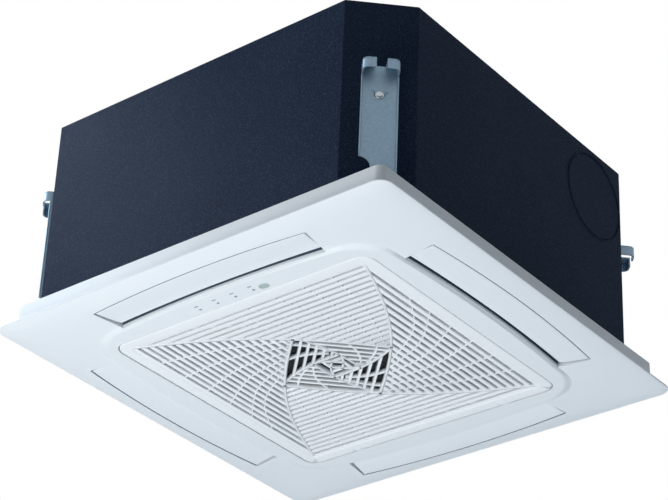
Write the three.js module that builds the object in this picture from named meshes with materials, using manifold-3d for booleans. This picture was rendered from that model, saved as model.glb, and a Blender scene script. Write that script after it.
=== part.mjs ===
// Ceiling cassette air conditioner: a casing hung on four rods in the ceiling void,
// and a square panel below it with four flaps round an intake grille.
// Millimetres, +Z up. The lowest face of the panel is z = 0, and its centre is the origin.
import * as THREE from 'three';
import { mergeVertices } from 'three/addons/utils/BufferGeometryUtils.js';
import Module from 'manifold-3d';

const wasm = await Module();
wasm.setup();

// ---------------------------------------------------------------- driving dimensions
// Gaps
const fit = 0.3;                  // between two pieces that touch
const running = 1;                // round a flap in its outlet
const grilleSeam = 1.5;           // round the intake grille, so that it can swing

// Casing
const casingHeight = 260.2;
const casingMargin = 7;           // wall's outer face beyond the outlets
const nearChamfer = 64;
const rightChamfer = 69;
const farChamfer = 64;
const leftChamfer = 43;
const sheet = 1.5;
const bottomFlange = 14;
const linerThickness = 10;

// Fresh-air knock-out and service plate
const ductRadius = 59;
const ductAlongWall = 158.6;
const ductHeight = 190;           // centre above the casing's foot
const servicePlateWidth = 104;
const servicePlateHeight = 76;
const serviceAlongWall = -95;
const serviceHeight = 150;

// Hangers
const hangerWidth = 45;
const hangerSheet = 2;
const hangerHeight = 163;
const hangerSlot = 13;
const hangerLip = 14;
const hangerRim = 2;              // how far the strap's folded edges stand out
const hangerCorner = 8;
const hangerBite = 14;
const hangerFoot = 1.2;           // strap above the casing's foot
const biteHeight = 33;
const hangerScrewHeight = 122;
const nearReach = 20;
const rightReach = 25;
const farReach = 20;
const leftReach = 13;
const screwShank = 2.4;
const screwHead = 4.5;
const screwHeadHeight = 3;

// Panel
const lipReach = 18.5;            // panel's edge beyond the casing's wall
const panelCorner = 18;
const lipHeight = 9.5;            // edge of the lip above the lowest face
const lipRound = 2;
const bandHeight = 37;
const bandWall = 3.5;
const bandCorner = 10;
const plateTop = 12;
const plateDrop = 4.3;            // plate beside the flaps above the lowest face
const collarWall = 3.5;

// Ring round the grille, and the outlets outside it
const edgeBow = 7;                // how far the long edges bow outwards
const ringWidth = 21;             // lowest face, at the ends of an edge
const ringCorner = 62;
const flankWidth = 4.5;
const flankCorner = 50;
const flankRound = 1;
const plateBend = 8;              // from the outlets to where the plate starts to rise
const outletWidth = 46;           // at its ends
const outletOuterBow = 9.5;
const outletInnerLength = 324;
const outletOuterLength = 338;

// Flaps
const flapThickness = 3.2;
const flapInnerGap = 3.6;
const flapEndGap = 2.6;           // the flared ends pass the outlet's corners as it tilts
const flapRise = 4.6;             // inner edge above the outer edge
const flapPivotAcross = 248;
const flapPivotHeight = 14;
const flapPin = 2.5;
const flapHub = 3.5;
const flapArm = 4;
const flapArmInset = 3;           // from the outlet's end
const flapOverrun = 2;            // of the curved blade before it is trimmed to its outline
const pinEndGap = 2;              // behind a pin in its bearing
const bearingWall = 3.4;
const bearingDepth = 7.5;
const flapMotorRadius = 10;
const flapMotorLength = 16;
const flapMotorOffset = 8.5;

// Intake grille
const grilleWidth = 404;
const grilleCorner = 18;
const grilleThickness = 10;
const fieldInset = 16;            // from the grille's edge to its field of slats
const slatFront = 1.5;
const slatDepth = 6.5;
const slatPitch = 10.58;
const slatGap = 6;
const fieldMargin = 5.3;          // from the field's edge to its first gap
const leastVoid = 300;            // mm3: a smaller gap between slats stays filled
const armWidth = 4;
const armStart = 21;              // degrees from the field's edge, at a corner
const armEnd = 47;
const armHandle = 137;
const innerRadius = 90;           // from the centre to a corner of the next square in
const ribWidth = 3;
const ribCount = 2;
const ribFirst = 98.5;            // along the field's edge, from its middle
const ribSpacing = 93;
const ribLean = -62;              // degrees, of the first rib at the field's edge
const ribFan = 28;                // degrees between neighbouring ribs
const ribHandle = 90;
const ribTipFirst = 83;           // along the side of the inner square, where a rib ends
const ribTipSpacing = 30;
const hingePin = 1.5;
const hingePinLength = 26;
const hingeInset = 3;
const hingeAlong = 120;
const hingeEar = 12;
const latchAlong = 96;
const latchWidth = 16;
const latchThickness = 2.6;
const latchLength = 17;
const latchBite = 2.6;            // how far a latch enters its pocket in the panel
const latchRoom = 2;              // above a latch in its pocket
const guideWall = 2;              // of the two guides beside a latch
const reliefInset = 12.5;         // bevel that lets the back corners swing past the ring
const reliefSlope = 0.6;
const filterInset = 6;            // from the field's edge
const filterThickness = 5;
const filterRail = 7;
const filterRibs = 3;
const netThickness = 0.8;

// Receiver and its lamps in the ring
const lampRadius = 1.7;
const lampPitch = 28.3;
const lampFirst = -45.7;
const lampInset = 9.5;            // from the recess
const receiverAlong = 55.5;
const receiverHalfLength = 7;
const receiverHalfWidth = 5;
const boardLength = 134;
const boardWidth = 20;
const boardThickness = 1.6;
const boardSeat = 8;

// Drain pan and bell mouth
const panHeight = 47;
const panOutletInset = 12;        // from the ends of the panel's outlet
const panOutletWidth = 38;
const coilSeat = 28;              // floor of the coil's trough above the pan's foot
const sumpDepth = 14;
const troughMargin = 3;
const bellFlange = 172;
const bellMouthRadius = 150;
const bellThroat = 116;
const bellWall = 2;
const bellClearance = 3;          // between the bell's top and the fan's blades
const bellHeight = 54;
const bellStraight = 14;          // of the throat, above the curve

// Heat exchanger
const coilMargin = 31;            // from the outlets above the panel
const coilThickness = 32;
const coilCorner = 50;
const coilHeight = 212;
const coilOpening = 60;           // side of the square left open at the far corner
const cornerPlate = 1.5;

// Fan
const fanRadius = 158;
const fanInlet = 120;
const fanWall = 2.4;
const fanHubHeight = 186;
const fanShroudRise = 16;
const shroudLap = 8;              // how far the fan's inlet goes over the bell
const bladeCount = 7;
const bladeInner = 96;
const bladeSweep = 42;            // degrees from a blade's root to its tip
const bladeThickness = 3;
const bossRadius = 16;
const bossHeight = 22;
const bossFillet = 6;
const shaftRadius = 4;
const nutRadius = 8.5;
const nutHeight = 8;
const motorRadius = 52;
const motorHeight = 82;
const motorFlange = 60;
const motorNose = 14;
const motorShoulder = 16;         // foot of the motor's full width, above its nose
const motorEdge = 6;
const motorBand = 38;             // foot of the motor's joint rim, above its nose
const motorBandHeight = 4;
const motorClearance = 12;
const shaftEngagement = 22;
const mountPost = 6;
const mountBore = 24;
const mountInset = 4;             // of the posts from the plate's edge

// Drain pump, float switch and pipes
const pumpRadius = 21;
const sumpClearance = 4;
const pumpHeight = 96;
const pumpChamberHeight = 30;
const pumpMotorRadius = 15;
const pumpInlet = 8;
const spoutLength = 10;
const spoutDrop = 16;             // below the pump's top
const pumpInset = 45;             // from the casing's far corner
const pumpFloor = 3;
const impellerRadius = 12;
const impellerHeight = 9;
const vaneThickness = 1.6;
const impellerHub = 3;
const impellerShaft = 2;
const impellerShaftLength = 14;
const floatRadius = 9;
const floatHeight = 12;
const floatTravel = 14;
const floatStem = 2.5;
const floatStemHeight = 38;
const floatAway = 34;
const floatBase = 5;
const floatCap = 4.5;
const floatCapHeight = 2;
const gasRadius = 7.9;
const liquidRadius = 4.8;
const pipeSpacing = 40;
const pipeReach = 17;
const pipeSteps = 14;
const pipeBendStart = 14;         // from the coil's face to the pipe's rise
const pipeBendEnd = 50;
const pipeBendEase = 11;          // of the pipe's run that turns each end of the bend
const nutLength = 13;
const nutWall = 5;
const drainRadius = 12;
const drainBore = 9;
const drainAlong = -190;
const drainHeight = 190;
const drainFlange = 4;
const hoseRadius = 8;
const hoseBore = 6;
const hoseLap = 8;                // how far the hose goes over the pump's spout
const hoseTurn = 21;              // from the hose's start to its upright stretch
const hoseRise = 48;              // of the upright stretch above the spout
const hoseApproach = 30;          // straight run into the drain socket
const pipeDrop = 30;              // of the coil's ends below the service plate's centre

// Control box behind the grille
const boxLength = 160;
const boxWidth = 45;
const boxHeight = 26;
const boxWall = 1.5;
const boxPostRadius = 2.5;
const boxPostLength = 7;
const boxPostInset = 20;
const boardMargin = 6;
const coverThickness = 1.5;
const terminalLength = 56;
const terminalWidth = 26;
const terminalHeight = 11;

// ---------------------------------------------------------------- derived places
const grilleHalf = grilleWidth / 2;
const recessHalf = grilleHalf + grilleSeam;
const fieldHalf = grilleHalf - fieldInset;
const filterHalf = fieldHalf - filterInset;
const ringHalf = recessHalf + ringWidth;
const lampAcross = recessHalf + lampInset;
const outletInner = ringHalf + flankWidth;
const outletOuter = outletInner + outletWidth;
const half = outletOuter + outletOuterBow + casingMargin;
const panelHalf = half + lipReach;
const bandTop = lipHeight + bandHeight;
const casingFoot = bandTop + fit;
const casingTop = casingFoot + casingHeight;
const panFoot = casingFoot + sheet + fit;
const panTop = panFoot + panHeight;
const chamfers = {
  near: nearChamfer, right: rightChamfer, far: farChamfer, left: leftChamfer,
};
const degree = Math.PI / 180;
const deep = 400;                 // longer than any cut needs
const meshTolerance = 0.01;
const roundSides = 24;            // of the largest turned pieces
const smallSides = 10;            // of pins, screws and their holes

// ---------------------------------------------------------------- solids and booleans
function solid(geometry) {
  const plain = new THREE.BufferGeometry();
  plain.setAttribute('position', geometry.getAttribute('position').clone());
  if (geometry.index) plain.setIndex(geometry.index.clone());
  const joined = mergeVertices(plain, 1e-5);
  return new wasm.Manifold(new wasm.Mesh({
    numProp: 3,
    vertProperties: new Float32Array(joined.getAttribute('position').array),
    triVerts: new Uint32Array(joined.index.array),
  }));
}

function surface(body) {
  const mesh = body.getMesh();
  const geometry = new THREE.BufferGeometry();
  geometry.setAttribute('position', new THREE.BufferAttribute(mesh.vertProperties, 3));
  geometry.setIndex(new THREE.BufferAttribute(mesh.triVerts, 1));
  geometry.computeVertexNormals();
  return geometry;
}

const add = (...shapes) => surface(wasm.Manifold.union(shapes.map(solid)));
const cut = (base, ...tools) => surface(
  tools.map(solid).reduce((rest, tool) => rest.subtract(tool), solid(base)),
);
const common = (a, b) => surface(solid(a).intersect(solid(b)));
const withoutSlivers = (geometry, leastVolume) => surface(wasm.Manifold.compose(
  solid(geometry).decompose().filter((body) => body.volume() > leastVolume),
));

function block(x0, x1, y0, y1, z0, z1) {
  const box = new THREE.BoxGeometry(x1 - x0, y1 - y0, z1 - z0);
  return box.translate((x0 + x1) / 2, (y0 + y1) / 2, (z0 + z1) / 2);
}

// A round bar along Z; alongX and alongY turn it.
function bar(radius, z0, z1, sides = 20) {
  const cylinder = new THREE.CylinderGeometry(radius, radius, z1 - z0, sides);
  return cylinder.rotateX(Math.PI / 2).translate(0, 0, (z0 + z1) / 2);
}

const alongX = (geometry) => geometry.rotateY(Math.PI / 2);
const alongY = (geometry) => geometry.rotateX(-Math.PI / 2);

// A solid turned about Z from [radius, z] points, listed from the foot upwards.
function turned(profile, sides = roundSides) {
  const points = profile.map(([r, z]) => new THREE.Vector2(r, z));
  return new THREE.LatheGeometry(points, sides).rotateX(Math.PI / 2);
}

function prism(outline, z0, z1) {
  const shape = new THREE.Shape(outline.map(([x, y]) => new THREE.Vector2(x, y)));
  const extrusion = new THREE.ExtrudeGeometry(shape, { depth: z1 - z0, bevelEnabled: false });
  return extrusion.translate(0, 0, z0);
}

function pipe(points, radius, steps, sides) {
  const knots = points.map((point) => new THREE.Vector3(...point));
  const path = new THREE.CatmullRomCurve3(knots, false, 'centripetal');
  const section = new THREE.Shape();
  section.absarc(0, 0, radius, 0, 2 * Math.PI);
  return new THREE.ExtrudeGeometry(section, { steps, extrudePath: path, curveSegments: sides / 2 });
}

// Rings of points, each as long as the next, joined into a closed solid from the foot up.
function loft(rings) {
  const count = rings[0].length;
  const positions = rings.flat(2);
  const index = [];
  for (let level = 0; level + 1 < rings.length; level += 1) {
    for (let i = 0; i < count; i += 1) {
      const a = level * count + i;
      const b = level * count + (i + 1) % count;
      index.push(a, b, b + count, a, b + count, a + count);
    }
  }
  const flat = (ring) => ring.map(([x, y]) => new THREE.Vector2(x, y));
  const top = (rings.length - 1) * count;
  for (const [a, b, c] of THREE.ShapeUtils.triangulateShape(flat(rings[0]), [])) index.push(a, c, b);
  for (const [a, b, c] of THREE.ShapeUtils.triangulateShape(flat(rings.at(-1)), [])) {
    index.push(top + a, top + b, top + c);
  }
  const geometry = new THREE.BufferGeometry();
  geometry.setAttribute('position', new THREE.Float32BufferAttribute(positions, 3));
  geometry.setIndex(index);
  return geometry;
}

// ---------------------------------------------------------------- outlines
// A square with rounded corners and edges that bow outwards, as [x, y] points.
function softSquare(reach, corner, bow = 0, cornerSteps = 4, edgeSteps = 4) {
  const points = [];
  const straight = reach - corner;
  for (let side = 0; side < 4; side += 1) {
    const turn = side * Math.PI / 2;
    const place = ([x, y]) => points.push([
      x * Math.cos(turn) - y * Math.sin(turn), x * Math.sin(turn) + y * Math.cos(turn),
    ]);
    for (let i = 0; i < edgeSteps; i += 1) {
      const along = straight * (2 * i / edgeSteps - 1);
      place([reach + bow * (1 - (along / straight) ** 2), along]);
    }
    for (let i = 0; i < cornerSteps; i += 1) {
      const angle = i / cornerSteps * Math.PI / 2;
      place([straight + corner * Math.cos(angle), straight + corner * Math.sin(angle)]);
    }
  }
  return points;
}

const atHeight = (outline, z) => outline.map(([x, y]) => [x, y, z]);

// The casing's eight-sided plan, drawn in from its outer face by an even inset.
function casingPlan(inset) {
  const h = half - inset;
  const shorter = (chamfer) => chamfer - inset * (2 - Math.SQRT2);
  const near = shorter(nearChamfer);
  const right = shorter(rightChamfer);
  const far = shorter(farChamfer);
  const left = shorter(leftChamfer);
  return [
    [-h + left, -h], [h - near, -h], [h, -h + near], [h, h - right],
    [h - right, h], [-h + far, h], [-h, h - far], [-h, -h + left],
  ];
}

// An outlet's plan on the front side: bowed inner and outer edges and slanted ends.
function outletPlan(inset, innerGap, endGap, steps = 6) {
  const innerHalf = outletInnerLength / 2 - endGap;
  const outerHalf = outletOuterLength / 2 - endGap;
  const points = [];
  for (let i = 0; i <= steps; i += 1) {
    const t = 2 * i / steps - 1;
    points.push([t * outerHalf, -(outletOuter + outletOuterBow * (1 - t * t) - inset)]);
  }
  for (let i = steps; i >= 0; i -= 1) {
    const t = 2 * i / steps - 1;
    points.push([t * innerHalf, -(outletInner + edgeBow * (1 - t * t) + innerGap)]);
  }
  return points;
}

const quarterTurn = (geometry, side) => geometry.clone().rotateZ(side * Math.PI / 2);

// ---------------------------------------------------------------- scene graph
const object = new THREE.Group();
const finishes = {
  casing: ['#141a24', 0.62, 0.2],
  galvanised: ['#8496a4', 0.42, 0.85],
  panel: ['#e3e8ee', 0.38, 0],
  grille: ['#eef2f5', 0.4, 0],
  foam: ['#dfe3e4', 0.9, 0],
  liner: ['#2b2f36', 0.95, 0],
  copper: ['#b46a42', 0.3, 0.95],
  brass: ['#c2a25a', 0.32, 0.9],
  aluminium: ['#b9c2c8', 0.35, 0.9],
  steel: ['#9aa2a8', 0.35, 0.9],
  darkPlastic: ['#24292e', 0.55, 0],
  greyPlastic: ['#8d959b', 0.5, 0],
  board: ['#1f6b42', 0.5, 0.1],
  net: ['#5b6b76', 0.8, 0],
  lamp: ['#cfd8d4', 0.25, 0],
  receiver: ['#7d8f87', 0.2, 0],
};

function piece(name, geometry, finish, parent = object) {
  const [color, roughness, metalness] = finishes[finish];
  const material = new THREE.MeshStandardMaterial({ color, roughness, metalness });
  const mesh = new THREE.Mesh(geometry, material);
  mesh.name = name;
  parent.add(mesh);
  return mesh;
}

// ---------------------------------------------------------------- casing
const ductCentre = casingFoot + ductHeight;
const serviceCentre = casingFoot + serviceHeight;
const drainCentre = casingFoot + drainHeight;
const linerInset = sheet + fit + linerThickness;

const throughRight = (radius, sides = 32) => alongX(bar(radius, 0, deep, sides))
  .translate(0, ductAlongWall, ductCentre);
const serviceOpening = block(
  serviceAlongWall - servicePlateWidth / 2 + bottomFlange,
  serviceAlongWall + servicePlateWidth / 2 - bottomFlange,
  half - linerInset - 1, deep,
  serviceCentre - servicePlateHeight / 2 + bottomFlange,
  serviceCentre + servicePlateHeight / 2 - bottomFlange,
);
const drainHole = (radius) => alongY(bar(radius, 0, deep)).translate(drainAlong, 0, drainCentre);

const corners = [
  { name: 'near', angle: -45, reach: nearReach },
  { name: 'right', angle: 45, reach: rightReach },
  { name: 'far', angle: 135, reach: farReach },
  { name: 'left', angle: 225, reach: leftReach },
];
const chamferDistance = (name) => (2 * half - chamfers[name]) / Math.SQRT2;
const screwHoles = corners.map(({ angle }) => alongX(bar(screwShank + fit, half, deep, smallSides))
  .translate(0, 0, casingFoot + hangerScrewHeight).rotateZ(angle * degree));

piece('casing_wall', cut(
  add(
    cut(prism(casingPlan(0), casingFoot, casingTop - sheet - fit), prism(casingPlan(sheet), 0, deep)),
    cut(prism(casingPlan(0), casingFoot, casingFoot + sheet), prism(casingPlan(bottomFlange), 0, deep)),
  ),
  throughRight(ductRadius), serviceOpening, drainHole(drainRadius + fit), ...screwHoles,
), 'casing');
piece('top_plate', prism(casingPlan(0), casingTop - sheet, casingTop), 'casing');
piece('casing_liner', cut(
  prism(casingPlan(sheet + fit), panTop + fit, casingTop - sheet - 2 * fit),
  prism(casingPlan(linerInset), 0, deep),
  serviceOpening, drainHole(drainRadius + drainFlange),
), 'liner');
piece('duct_knockout', alongX(bar(ductRadius - fit, 0, sheet, 32))
  .translate(half - sheet, ductAlongWall, ductCentre), 'casing');

// ---------------------------------------------------------------- hangers
const strapTop = casingFoot + hangerFoot + hangerHeight;
const lipStart = strapTop - hangerLip;
const rimOuter = hangerSheet + hangerRim;

function hangerBracket(reach) {
  const edge = hangerWidth / 2;
  const foot = casingFoot + hangerFoot;
  const biteTop = foot + biteHeight;
  const strap = block(0, hangerSheet, -edge, edge, foot, strapTop);
  const rims = [-1, 1].map((side) => block(
    0, rimOuter, side > 0 ? edge - hangerRim : -edge, side > 0 ? edge : -edge + hangerRim,
    biteTop, lipStart - hangerRim,
  ));
  const outline = new THREE.Shape();
  outline.moveTo(0, -edge);
  outline.lineTo(reach - hangerCorner, -edge);
  outline.absarc(reach - hangerCorner, -edge + hangerCorner, hangerCorner, -Math.PI / 2, 0);
  outline.lineTo(reach, edge - hangerCorner);
  outline.absarc(reach - hangerCorner, edge - hangerCorner, hangerCorner, 0, Math.PI / 2);
  outline.lineTo(0, edge);
  const lug = new THREE.ExtrudeGeometry(outline, {
    depth: hangerLip, bevelEnabled: false, curveSegments: 4,
  }).translate(0, 0, lipStart);
  const hollow = block(
    -1, reach - hangerSheet, -edge - 1, edge + 1, lipStart - 1, strapTop - hangerSheet,
  );
  const slot = block(hangerSheet, reach + 1, -hangerSlot / 2, hangerSlot / 2, lipStart - 1, strapTop + 1);
  const bite = add(
    alongX(bar(hangerBite, -1, rimOuter + 1, 16)).translate(0, -edge, biteTop - hangerBite),
    block(-1, rimOuter + 1, -edge - 1, -edge + hangerBite, foot - 1, biteTop - hangerBite),
  );
  const screwHole = alongX(bar(screwShank + fit, -1, rimOuter, smallSides))
    .translate(0, 0, casingFoot + hangerScrewHeight);
  return cut(add(strap, ...rims, cut(lug, hollow, slot)), bite, screwHole);
}

for (const { name, angle, reach } of corners) {
  const corner = new THREE.Group();
  corner.rotation.z = angle * degree;
  object.add(corner);
  const seat = chamferDistance(name) + fit;
  piece(`hanger_bracket_${name}`, hangerBracket(reach), 'galvanised', corner).position.x = seat;
  const screw = add(
    bar(screwShank, -fit - sheet, hangerSheet + 2 * fit, smallSides),
    bar(screwHead, hangerSheet + fit, hangerSheet + fit + screwHeadHeight, smallSides),
  );
  piece(`hanger_screw_${name}`, alongX(screw), 'steel', corner)
    .position.set(seat, 0, casingFoot + hangerScrewHeight);
}

// ---------------------------------------------------------------- panel
const outletCut = (side) => quarterTurn(prism(outletPlan(0, 0, 0), -1, deep), side);
const flapBearings = [];
const pivotHoles = [];
const bearingStart = outletInnerLength / 2 + (outletOuterLength - outletInnerLength) / 2
  * (flapPivotAcross - outletInner) / (outletOuter - outletInner) + fit;
for (const end of [-1, 1]) {
  const x0 = end * bearingStart;
  const x1 = end * (bearingStart + bearingDepth);
  flapBearings.push(block(
    Math.min(x0, x1), Math.max(x0, x1),
    -flapPivotAcross - flapPin - bearingWall, -flapPivotAcross + flapPin + bearingWall,
    plateTop - 1, flapPivotHeight + flapPin + bearingWall,
  ));
  pivotHoles.push(alongX(bar(flapPin + fit, -bearingDepth, bearingDepth, smallSides))
    .translate(end * (bearingStart + bearingDepth / 2), -flapPivotAcross, flapPivotHeight));
}
const recess = prism(softSquare(recessHalf, grilleCorner + grilleSeam, 0, 4, 1), -1, deep);
const hingeLine = { y: grilleHalf - hingeInset, z: hingeInset };
const earRadius = hingePin + 1.6;
const hingeEars = [-1, 1].map((side) => add(
  alongX(bar(earRadius, -hingeEar / 2, hingeEar / 2, smallSides))
    .translate(side * hingeAlong, hingeLine.y, hingeLine.z + fit),
  block(
    side * hingeAlong - hingeEar / 2, side * hingeAlong + hingeEar / 2,
    hingeLine.y, recessHalf + 1, hingeLine.z - 1, hingeLine.z + earRadius,
  ),
));
const hingeBores = (radius) => [-1, 1].map((side) => alongX(
  bar(radius, -hingePinLength / 2 - fit, hingePinLength / 2 + fit, smallSides),
).translate(side * hingeAlong, hingeLine.y, hingeLine.z));
const latchPockets = [-1, 1].map((side) => block(
  side * latchAlong - latchWidth / 2 - fit, side * latchAlong + latchWidth / 2 + fit,
  -recessHalf - latchBite - fit, -recessHalf + 1,
  grilleThickness, grilleThickness + latchThickness + latchRoom,
));
const lampHoles = [0, 1, 2, 3].map((i) => bar(lampRadius + fit, -1, boardSeat + 1, smallSides)
  .translate(lampFirst + i * lampPitch, -lampAcross, 0));
const receiverHole = (grow) => bar(1, -1, boardSeat + 1, 16)
  .scale(receiverHalfLength + grow, receiverHalfWidth + grow, 1)
  .translate(receiverAlong, -lampAcross, 0);
const boardPocket = block(
  -boardLength / 2 - fit, boardLength / 2 + fit,
  -lampAcross - boardWidth / 2 - fit, -lampAcross + boardWidth / 2 + fit, boardSeat, plateTop + 1,
);

const ledgeHeight = lipHeight + lipRound * 1.5;
const flankMiddle = softSquare(ringHalf + flankWidth * 0.6, (ringCorner + flankCorner) / 2, edgeBow);
const plateRings = [
  atHeight(softSquare(ringHalf, ringCorner, edgeBow), 0),
  atHeight(flankMiddle, flankRound),
  atHeight(softSquare(ringHalf + flankWidth, flankCorner, edgeBow), plateDrop - flankRound / 2),
  atHeight(softSquare(outletOuter + plateBend, panelCorner + plateBend / 2, edgeBow / 2), plateDrop),
  atHeight(softSquare(panelHalf - 2 * lipRound, panelCorner), lipHeight - lipRound / 2),
  atHeight(softSquare(panelHalf - lipRound / 2, panelCorner), lipHeight - lipRound / 4),
  atHeight(softSquare(panelHalf, panelCorner), lipHeight + lipRound / 2),
  atHeight(softSquare(panelHalf - lipRound / 2, panelCorner), ledgeHeight),
];
const bandHollow = prism(softSquare(half - bandWall, bandCorner - bandWall / 2), plateTop, deep);
const bearings = [0, 1, 2, 3].flatMap((side) => flapBearings.map((g) => quarterTurn(g, side)));
const bores = [0, 1, 2, 3].flatMap((side) => pivotHoles.map((g) => quarterTurn(g, side)));
const bandSeat = prism(softSquare(half + fit, bandCorner + fit), ledgeHeight - fit, deep);
const bareFrame = add(cut(loft(plateRings), bandHollow, bandSeat), ...bearings);
piece('panel_frame', cut(
  add(cut(bareFrame, recess, ...[0, 1, 2, 3].map(outletCut)), ...hingeEars),
  ...bores, ...hingeBores(hingePin + fit), ...latchPockets, ...lampHoles, receiverHole(0), boardPocket,
), 'panel');
piece('panel_band', cut(
  prism(softSquare(half, bandCorner), ledgeHeight, bandTop), bandHollow,
), 'panel');
piece('panel_collar', cut(
  prism(softSquare(recessHalf + collarWall, grilleCorner + grilleSeam + collarWall, 0, 4, 1),
    plateTop + fit, panFoot - fit),
  recess, ...latchPockets,
), 'panel');

// ---------------------------------------------------------------- flaps and their motors
function flap() {
  const inner = outletInner + flapInnerGap - flapOverrun;
  const outer = outletOuter + outletOuterBow + flapOverrun;
  const rise = (across) => plateDrop + flapRise * ((outer - across) / (outer - inner)) ** 2;
  const steps = 4;
  const section = new THREE.Shape();
  for (let i = 0; i <= steps; i += 1) {
    const across = inner + (outer - inner) * i / steps;
    section[i ? 'lineTo' : 'moveTo'](across, rise(across));
  }
  for (let i = steps; i >= 0; i -= 1) {
    const across = inner + (outer - inner) * i / steps;
    section.lineTo(across, rise(across) + flapThickness);
  }
  const sweep = new THREE.ExtrudeGeometry(section, { depth: outletOuterLength, bevelEnabled: false })
    .rotateX(Math.PI / 2).rotateZ(-Math.PI / 2).translate(outletOuterLength / 2, 0, 0);
  const blade = common(sweep, prism(outletPlan(running, flapInnerGap, flapEndGap), -1, deep));
  const armEnds = [-1, 1].flatMap((end) => {
    const tip = end * (bearingStart - running);
    const root = end * (outletInnerLength / 2 - flapArmInset - flapArm);
    const pinEnd = end * (bearingStart + bearingDepth - pinEndGap);
    return [
      block(
        Math.min(root, root + end * flapArm), Math.max(root, root + end * flapArm),
        -flapPivotAcross - flapHub, -flapPivotAcross + flapHub,
        rise(flapPivotAcross) + 1, flapPivotHeight + flapPin,
      ),
      alongX(bar(flapPin, Math.min(root, pinEnd), Math.max(root, pinEnd), smallSides))
        .translate(0, -flapPivotAcross, flapPivotHeight),
      alongX(bar(flapHub, Math.min(root, tip), Math.max(root, tip), smallSides))
        .translate(0, -flapPivotAcross, flapPivotHeight),
    ];
  });
  return add(blade, ...armEnds);
}

function flapMotor() {
  const face = bearingStart + bearingDepth + fit;
  const body = alongX(bar(flapMotorRadius, face, face + flapMotorLength, 20))
    .translate(0, -flapPivotAcross, flapPivotHeight + flapMotorOffset);
  const shaftEnd = bearingStart + bearingDepth - pinEndGap + fit;
  const shaft = alongX(bar(flapPin - fit, shaftEnd, face + 1, smallSides))
    .translate(0, -flapPivotAcross, flapPivotHeight);
  return add(body, shaft);
}

['front', 'right', 'back', 'left'].forEach((name, side) => {
  const place = new THREE.Group();
  place.rotation.z = side * Math.PI / 2;
  object.add(place);
  piece(`flap_${name}`, flap(), 'panel', place);
  piece(`flap_motor_${name}`, flapMotor(), 'aluminium', place);
});

// ---------------------------------------------------------------- receiver and lamps
const boardFoot = boardSeat + fit;
piece('receiver_board', block(
  -boardLength / 2, boardLength / 2, -lampAcross - boardWidth / 2, -lampAcross + boardWidth / 2,
  boardFoot, boardFoot + boardThickness,
), 'board');
piece('receiver_window', common(
  receiverHole(-fit), block(-deep, deep, -deep, deep, 0, boardSeat),
), 'receiver');
for (let i = 0; i < 4; i += 1) {
  piece(`indicator_lamp_${i + 1}`, bar(lampRadius, 0, boardSeat, smallSides), 'lamp')
    .position.set(lampFirst + i * lampPitch, -lampAcross, 0);
}

// ---------------------------------------------------------------- intake grille
// The slats form a pinwheel: each square of slats turns into a smaller one at 45 degrees.
const shrink = innerRadius / (fieldHalf * Math.SQRT2);

function armCurve() {
  const start = new THREE.Vector2(-fieldHalf, -fieldHalf);
  const end = new THREE.Vector2(innerRadius, 0);
  const heading = (angle) => new THREE.Vector2(Math.cos(angle * degree), Math.sin(angle * degree));
  return new THREE.CubicBezierCurve(
    start, start.clone().addScaledVector(heading(armStart), armHandle),
    end.clone().addScaledVector(heading(armEnd), -armHandle), end,
  );
}

function ribCurve(i) {
  const start = new THREE.Vector2(-fieldHalf, ribFirst - i * ribSpacing);
  const lean = (ribLean + i * ribFan) * degree;
  const tip = (ribTipFirst - i * ribTipSpacing) * Math.SQRT1_2;
  const end = new THREE.Vector2(-tip, tip - innerRadius);
  const control = new THREE.Vector2(
    start.x + ribHandle * Math.cos(lean), start.y + ribHandle * Math.sin(lean),
  );
  return new THREE.QuadraticBezierCurve(start, control, end);
}

// A bar of even width that follows a plane curve.
function ribbon(points, width, z0, z1) {
  const offset = (side) => points.map((point, i) => {
    const before = points[Math.max(i - 1, 0)];
    const after = points[Math.min(i + 1, points.length - 1)];
    const along = after.clone().sub(before).normalize();
    return [point.x - along.y * side * width / 2, point.y + along.x * side * width / 2];
  });
  return prism([...offset(-1), ...offset(1).reverse()], z0, z1);
}

function levelVoids(level) {
  const scale = shrink ** level;
  const reach = fieldHalf * scale;
  const steps = 7;
  const arm = armCurve().getPoints(steps).map((p) => p.multiplyScalar(scale));
  const turnBack = ([x, y]) => [y, -x];
  const crossing = Math.round(steps * 0.6);
  const outline = [
    ...arm.slice(0, crossing).map((p) => [p.x, p.y]),
    ...arm.map((p) => turnBack([p.x, p.y])).reverse(),
  ];
  const sector = prism(outline.reverse(), slatFront - 2, slatFront + slatDepth + 2);
  const margin = level ? armWidth / 2 : fieldMargin;
  const strips = [];
  for (let x = reach - margin - slatGap / 2; x > slatPitch / 2; x -= slatPitch) {
    strips.push(block(-x - slatGap / 2, -x + slatGap / 2, -reach + margin, deep, -deep, deep));
  }
  const bars = [0, 1, 2, 3].map((side) => quarterTurn(ribbon(arm, armWidth, -deep, deep), side));
  if (!level) {
    for (let i = 0; i < ribCount; i += 1) {
      bars.push(ribbon(ribCurve(i).getPoints(4), ribWidth, -deep, deep));
    }
  }
  const voids = withoutSlivers(cut(common(sector, add(...strips)), ...bars), leastVoid);
  return [0, 1, 2, 3].map((side) => voids.clone().rotateZ(level * Math.PI / 4 + side * Math.PI / 2));
}

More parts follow.
